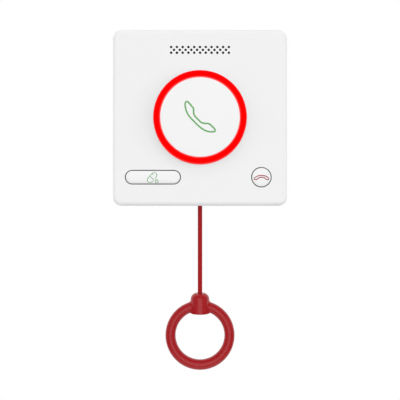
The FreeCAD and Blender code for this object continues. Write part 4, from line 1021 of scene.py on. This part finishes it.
def soft_lamp(name, place, width, height, power, mirrored=False):
    """A softbox that looks at the terminal; only a mirrored one shows in shiny pieces."""
    light = bpy.data.lights.new(name, "AREA")
    light.shape = "RECTANGLE"
    light.size = width
    light.size_y = height
    light.energy = power
    lamp = linked(name, light)
    lamp.location = place
    lamp.rotation_euler = (LAMP_AIM - Vector(place)).to_track_quat("-Z", "Y").to_euler()
    lamp.visible_glossy = mirrored


def make_air():
    """White past the object; shiny pieces see it behind them and a dim room in front.

    The light it gives grows towards the sides, the sky and the rear.
    """
    world = bpy.data.worlds.new("studio_air")
    bpy.context.scene.world = world
    world.use_nodes = True
    air = Nodes(world.node_tree)
    x, y, z = air.split(air.node("ShaderNodeTexCoord", out="Generated"))
    camera = air.node("ShaderNodeLightPath", out="Is Camera Ray")
    through = air.node("ShaderNodeLightPath", out="Is Transmission Ray")
    shine = air.node("ShaderNodeLightPath", out="Is Glossy Ray")
    seen = camera + through + shine * y.above(MIRRORED_EDGE, MIRRORED_SOFTNESS)
    behind = y.above(REAR_EDGE, REAR_SOFTNESS)
    air_light = AIR_LIGHT * (SIDE_LIGHT * (x * x) ** 2 + SKY_LIGHT * z + REAR_LIGHT * behind + 1)
    strength = air_light * (1 - shine) + ROOM_LIGHT * shine
    light = air.node("ShaderNodeBackground", None, {"Color": (1, 1, 1), "Strength": strength})
    white = air.node("ShaderNodeBackground", None, {"Color": (1, 1, 1), "Strength": 1.0})
    either = air.node("ShaderNodeMixShader", None, {0: seen, 1: light, 2: white})
    air.feed(air.tree.nodes["World Output"].inputs["Surface"], either)


def make_floor():
    """A pale disc below the object that takes its shadow and fades into the white air."""
    floor = fresh(
        bpy.ops.mesh.primitive_circle_add, "studio_floor", vertices=128,
        radius=FLOOR_RADIUS, fill_type="NGON", location=(0, 0, FLOOR_LEVEL),
    )
    finish = Finish("pale_floor")
    finish.paint(Base_Color=FLOOR_COLOUR, Roughness=0.9, Specular_IOR_Level=0.0)
    x, y, _ = finish.split(finish.place())
    radius = (x * x + y * y) ** 0.5
    past = radius.above(FLOOR_RADIUS * FLOOR_FADE_MIDDLE, FLOOR_RADIUS * FLOOR_FADE_SPREAD)
    solid = Level(finish, finish.shader.outputs[0])
    air = finish.node("ShaderNodeBsdfTransparent")
    faded = finish.node("ShaderNodeMixShader", None, {0: past, 1: solid, 2: air})
    finish.feed(finish.tree.nodes["Material Output"].inputs["Surface"], faded)
    floor.data.materials.append(finish.material)


def make_studio():
    """Four soft lamps, the white air and the floor."""
    soft_lamp(
        "front_softbox", (0.0, -0.85, -0.05), width=0.86, height=0.86, power=2.7, mirrored=True,
    )
    soft_lamp("top_softbox", (0.0, -0.62, 0.72), width=0.9, height=0.5, power=2.0)
    soft_lamp("right_softbox", (0.75, -0.5, -0.02), width=0.6, height=0.6, power=1.7)
    soft_lamp("left_softbox", (-0.75, -0.5, -0.02), width=0.6, height=0.6, power=1.3)
    make_air()
    make_floor()
    bpy.context.scene.view_settings.view_transform = "Standard"


# Assembly


def dress(material, *names):
    """Give carried-over pieces of the construction a finish."""
    for name in names:
        for slot in nodes[name].material_slots:
            slot.material = material


def main():
    # The shell carries painted shade inside the cover's openings and round the grille's holes
    shell = moulded_plastic("white_shell", WHITE_SHELL, roughness=0.5, grain=0.45 * MM,
                            depth=0.006 * MM, drift=0.985, shade=in_openings)
    satin = moulded_plastic("white_satin_cap", WHITE_CAP, roughness=0.38, grain=0.35 * MM,
                            depth=0.004 * MM, drift=0.99)
    # The small caps carry painted shade on their sides behind the cover's face, as in the gap
    # round them
    small_cap = moulded_plastic("small_cap_plastic", WHITE_CAP, roughness=0.38, grain=0.35 * MM,
                                depth=0.004 * MM, drift=0.99, shade=below_face)
    black = moulded_plastic("black_moulding", BLACK_PLASTIC, roughness=0.45, grain=0.4 * MM,
                            depth=0.01 * MM)
    green = moulded_plastic("green_moulding", GREEN_PLASTIC, roughness=0.4, grain=0.4 * MM,
                            depth=0.01 * MM)
    acetal = moulded_plastic("cream_acetal", CREAM_ACETAL, roughness=0.32, grain=0.5 * MM,
                             depth=0.006 * MM)
    silicone = moulded_plastic("grey_silicone", GREY_SILICONE, roughness=0.6, grain=0.6 * MM,
                               depth=0.01 * MM)
    lamp = moulded_plastic("clear_lamp", LAMP_RESIN, roughness=0.2, grain=0.8 * MM,
                           depth=0.003 * MM)
    steel = zinc_steel()
    sheath = red_sheath()

    dress(shell, "front_cover", "rear_housing")
    dress(satin, "cord_bushing")
    dress(black, "controller_chip", "speaker_frame", "pull_switch")
    dress(green, "terminal_block")
    dress(acetal, "pull_guide", "pull_slider")
    dress(silicone, "microphone_boot")
    dress(lamp, "ring_leds")
    dress(steel, "speaker_magnet", "microphone", "cord_ball", "board_screws", "guide_screws")
    dress(foam_finish(), "speaker_gasket", "speaker_pad")
    dress(woven_cloth(), "speaker_cloth")
    dress(cone_paper(), "speaker_cone")
    dress(board_finish(), "main_board")
    dress(ring_plastic(), "pull_ring")

    make_camera()
    make_cord(sheath, make_knot(sheath))
    make_light_ring(lit_ring_finish())
    call = make_call_button(satin)
    make_handset_icon(printed_ink("green_ink", CALL_GREEN), call)
    medication = make_medication_button(small_cap)
    make_pill_icon(printed_ink("pale_green_ink", PALE_GREEN), medication)
    hangup = make_hangup_button(small_cap)
    make_hangup_icon(printed_ink("red_ink", HANGUP_RED), hangup)
    make_closing_screws(steel)
    make_dome("call", silicone)
    make_dome("medication", silicone)
    make_dome("hangup", silicone)
    make_pull_spring(steel)
    make_studio()


main()
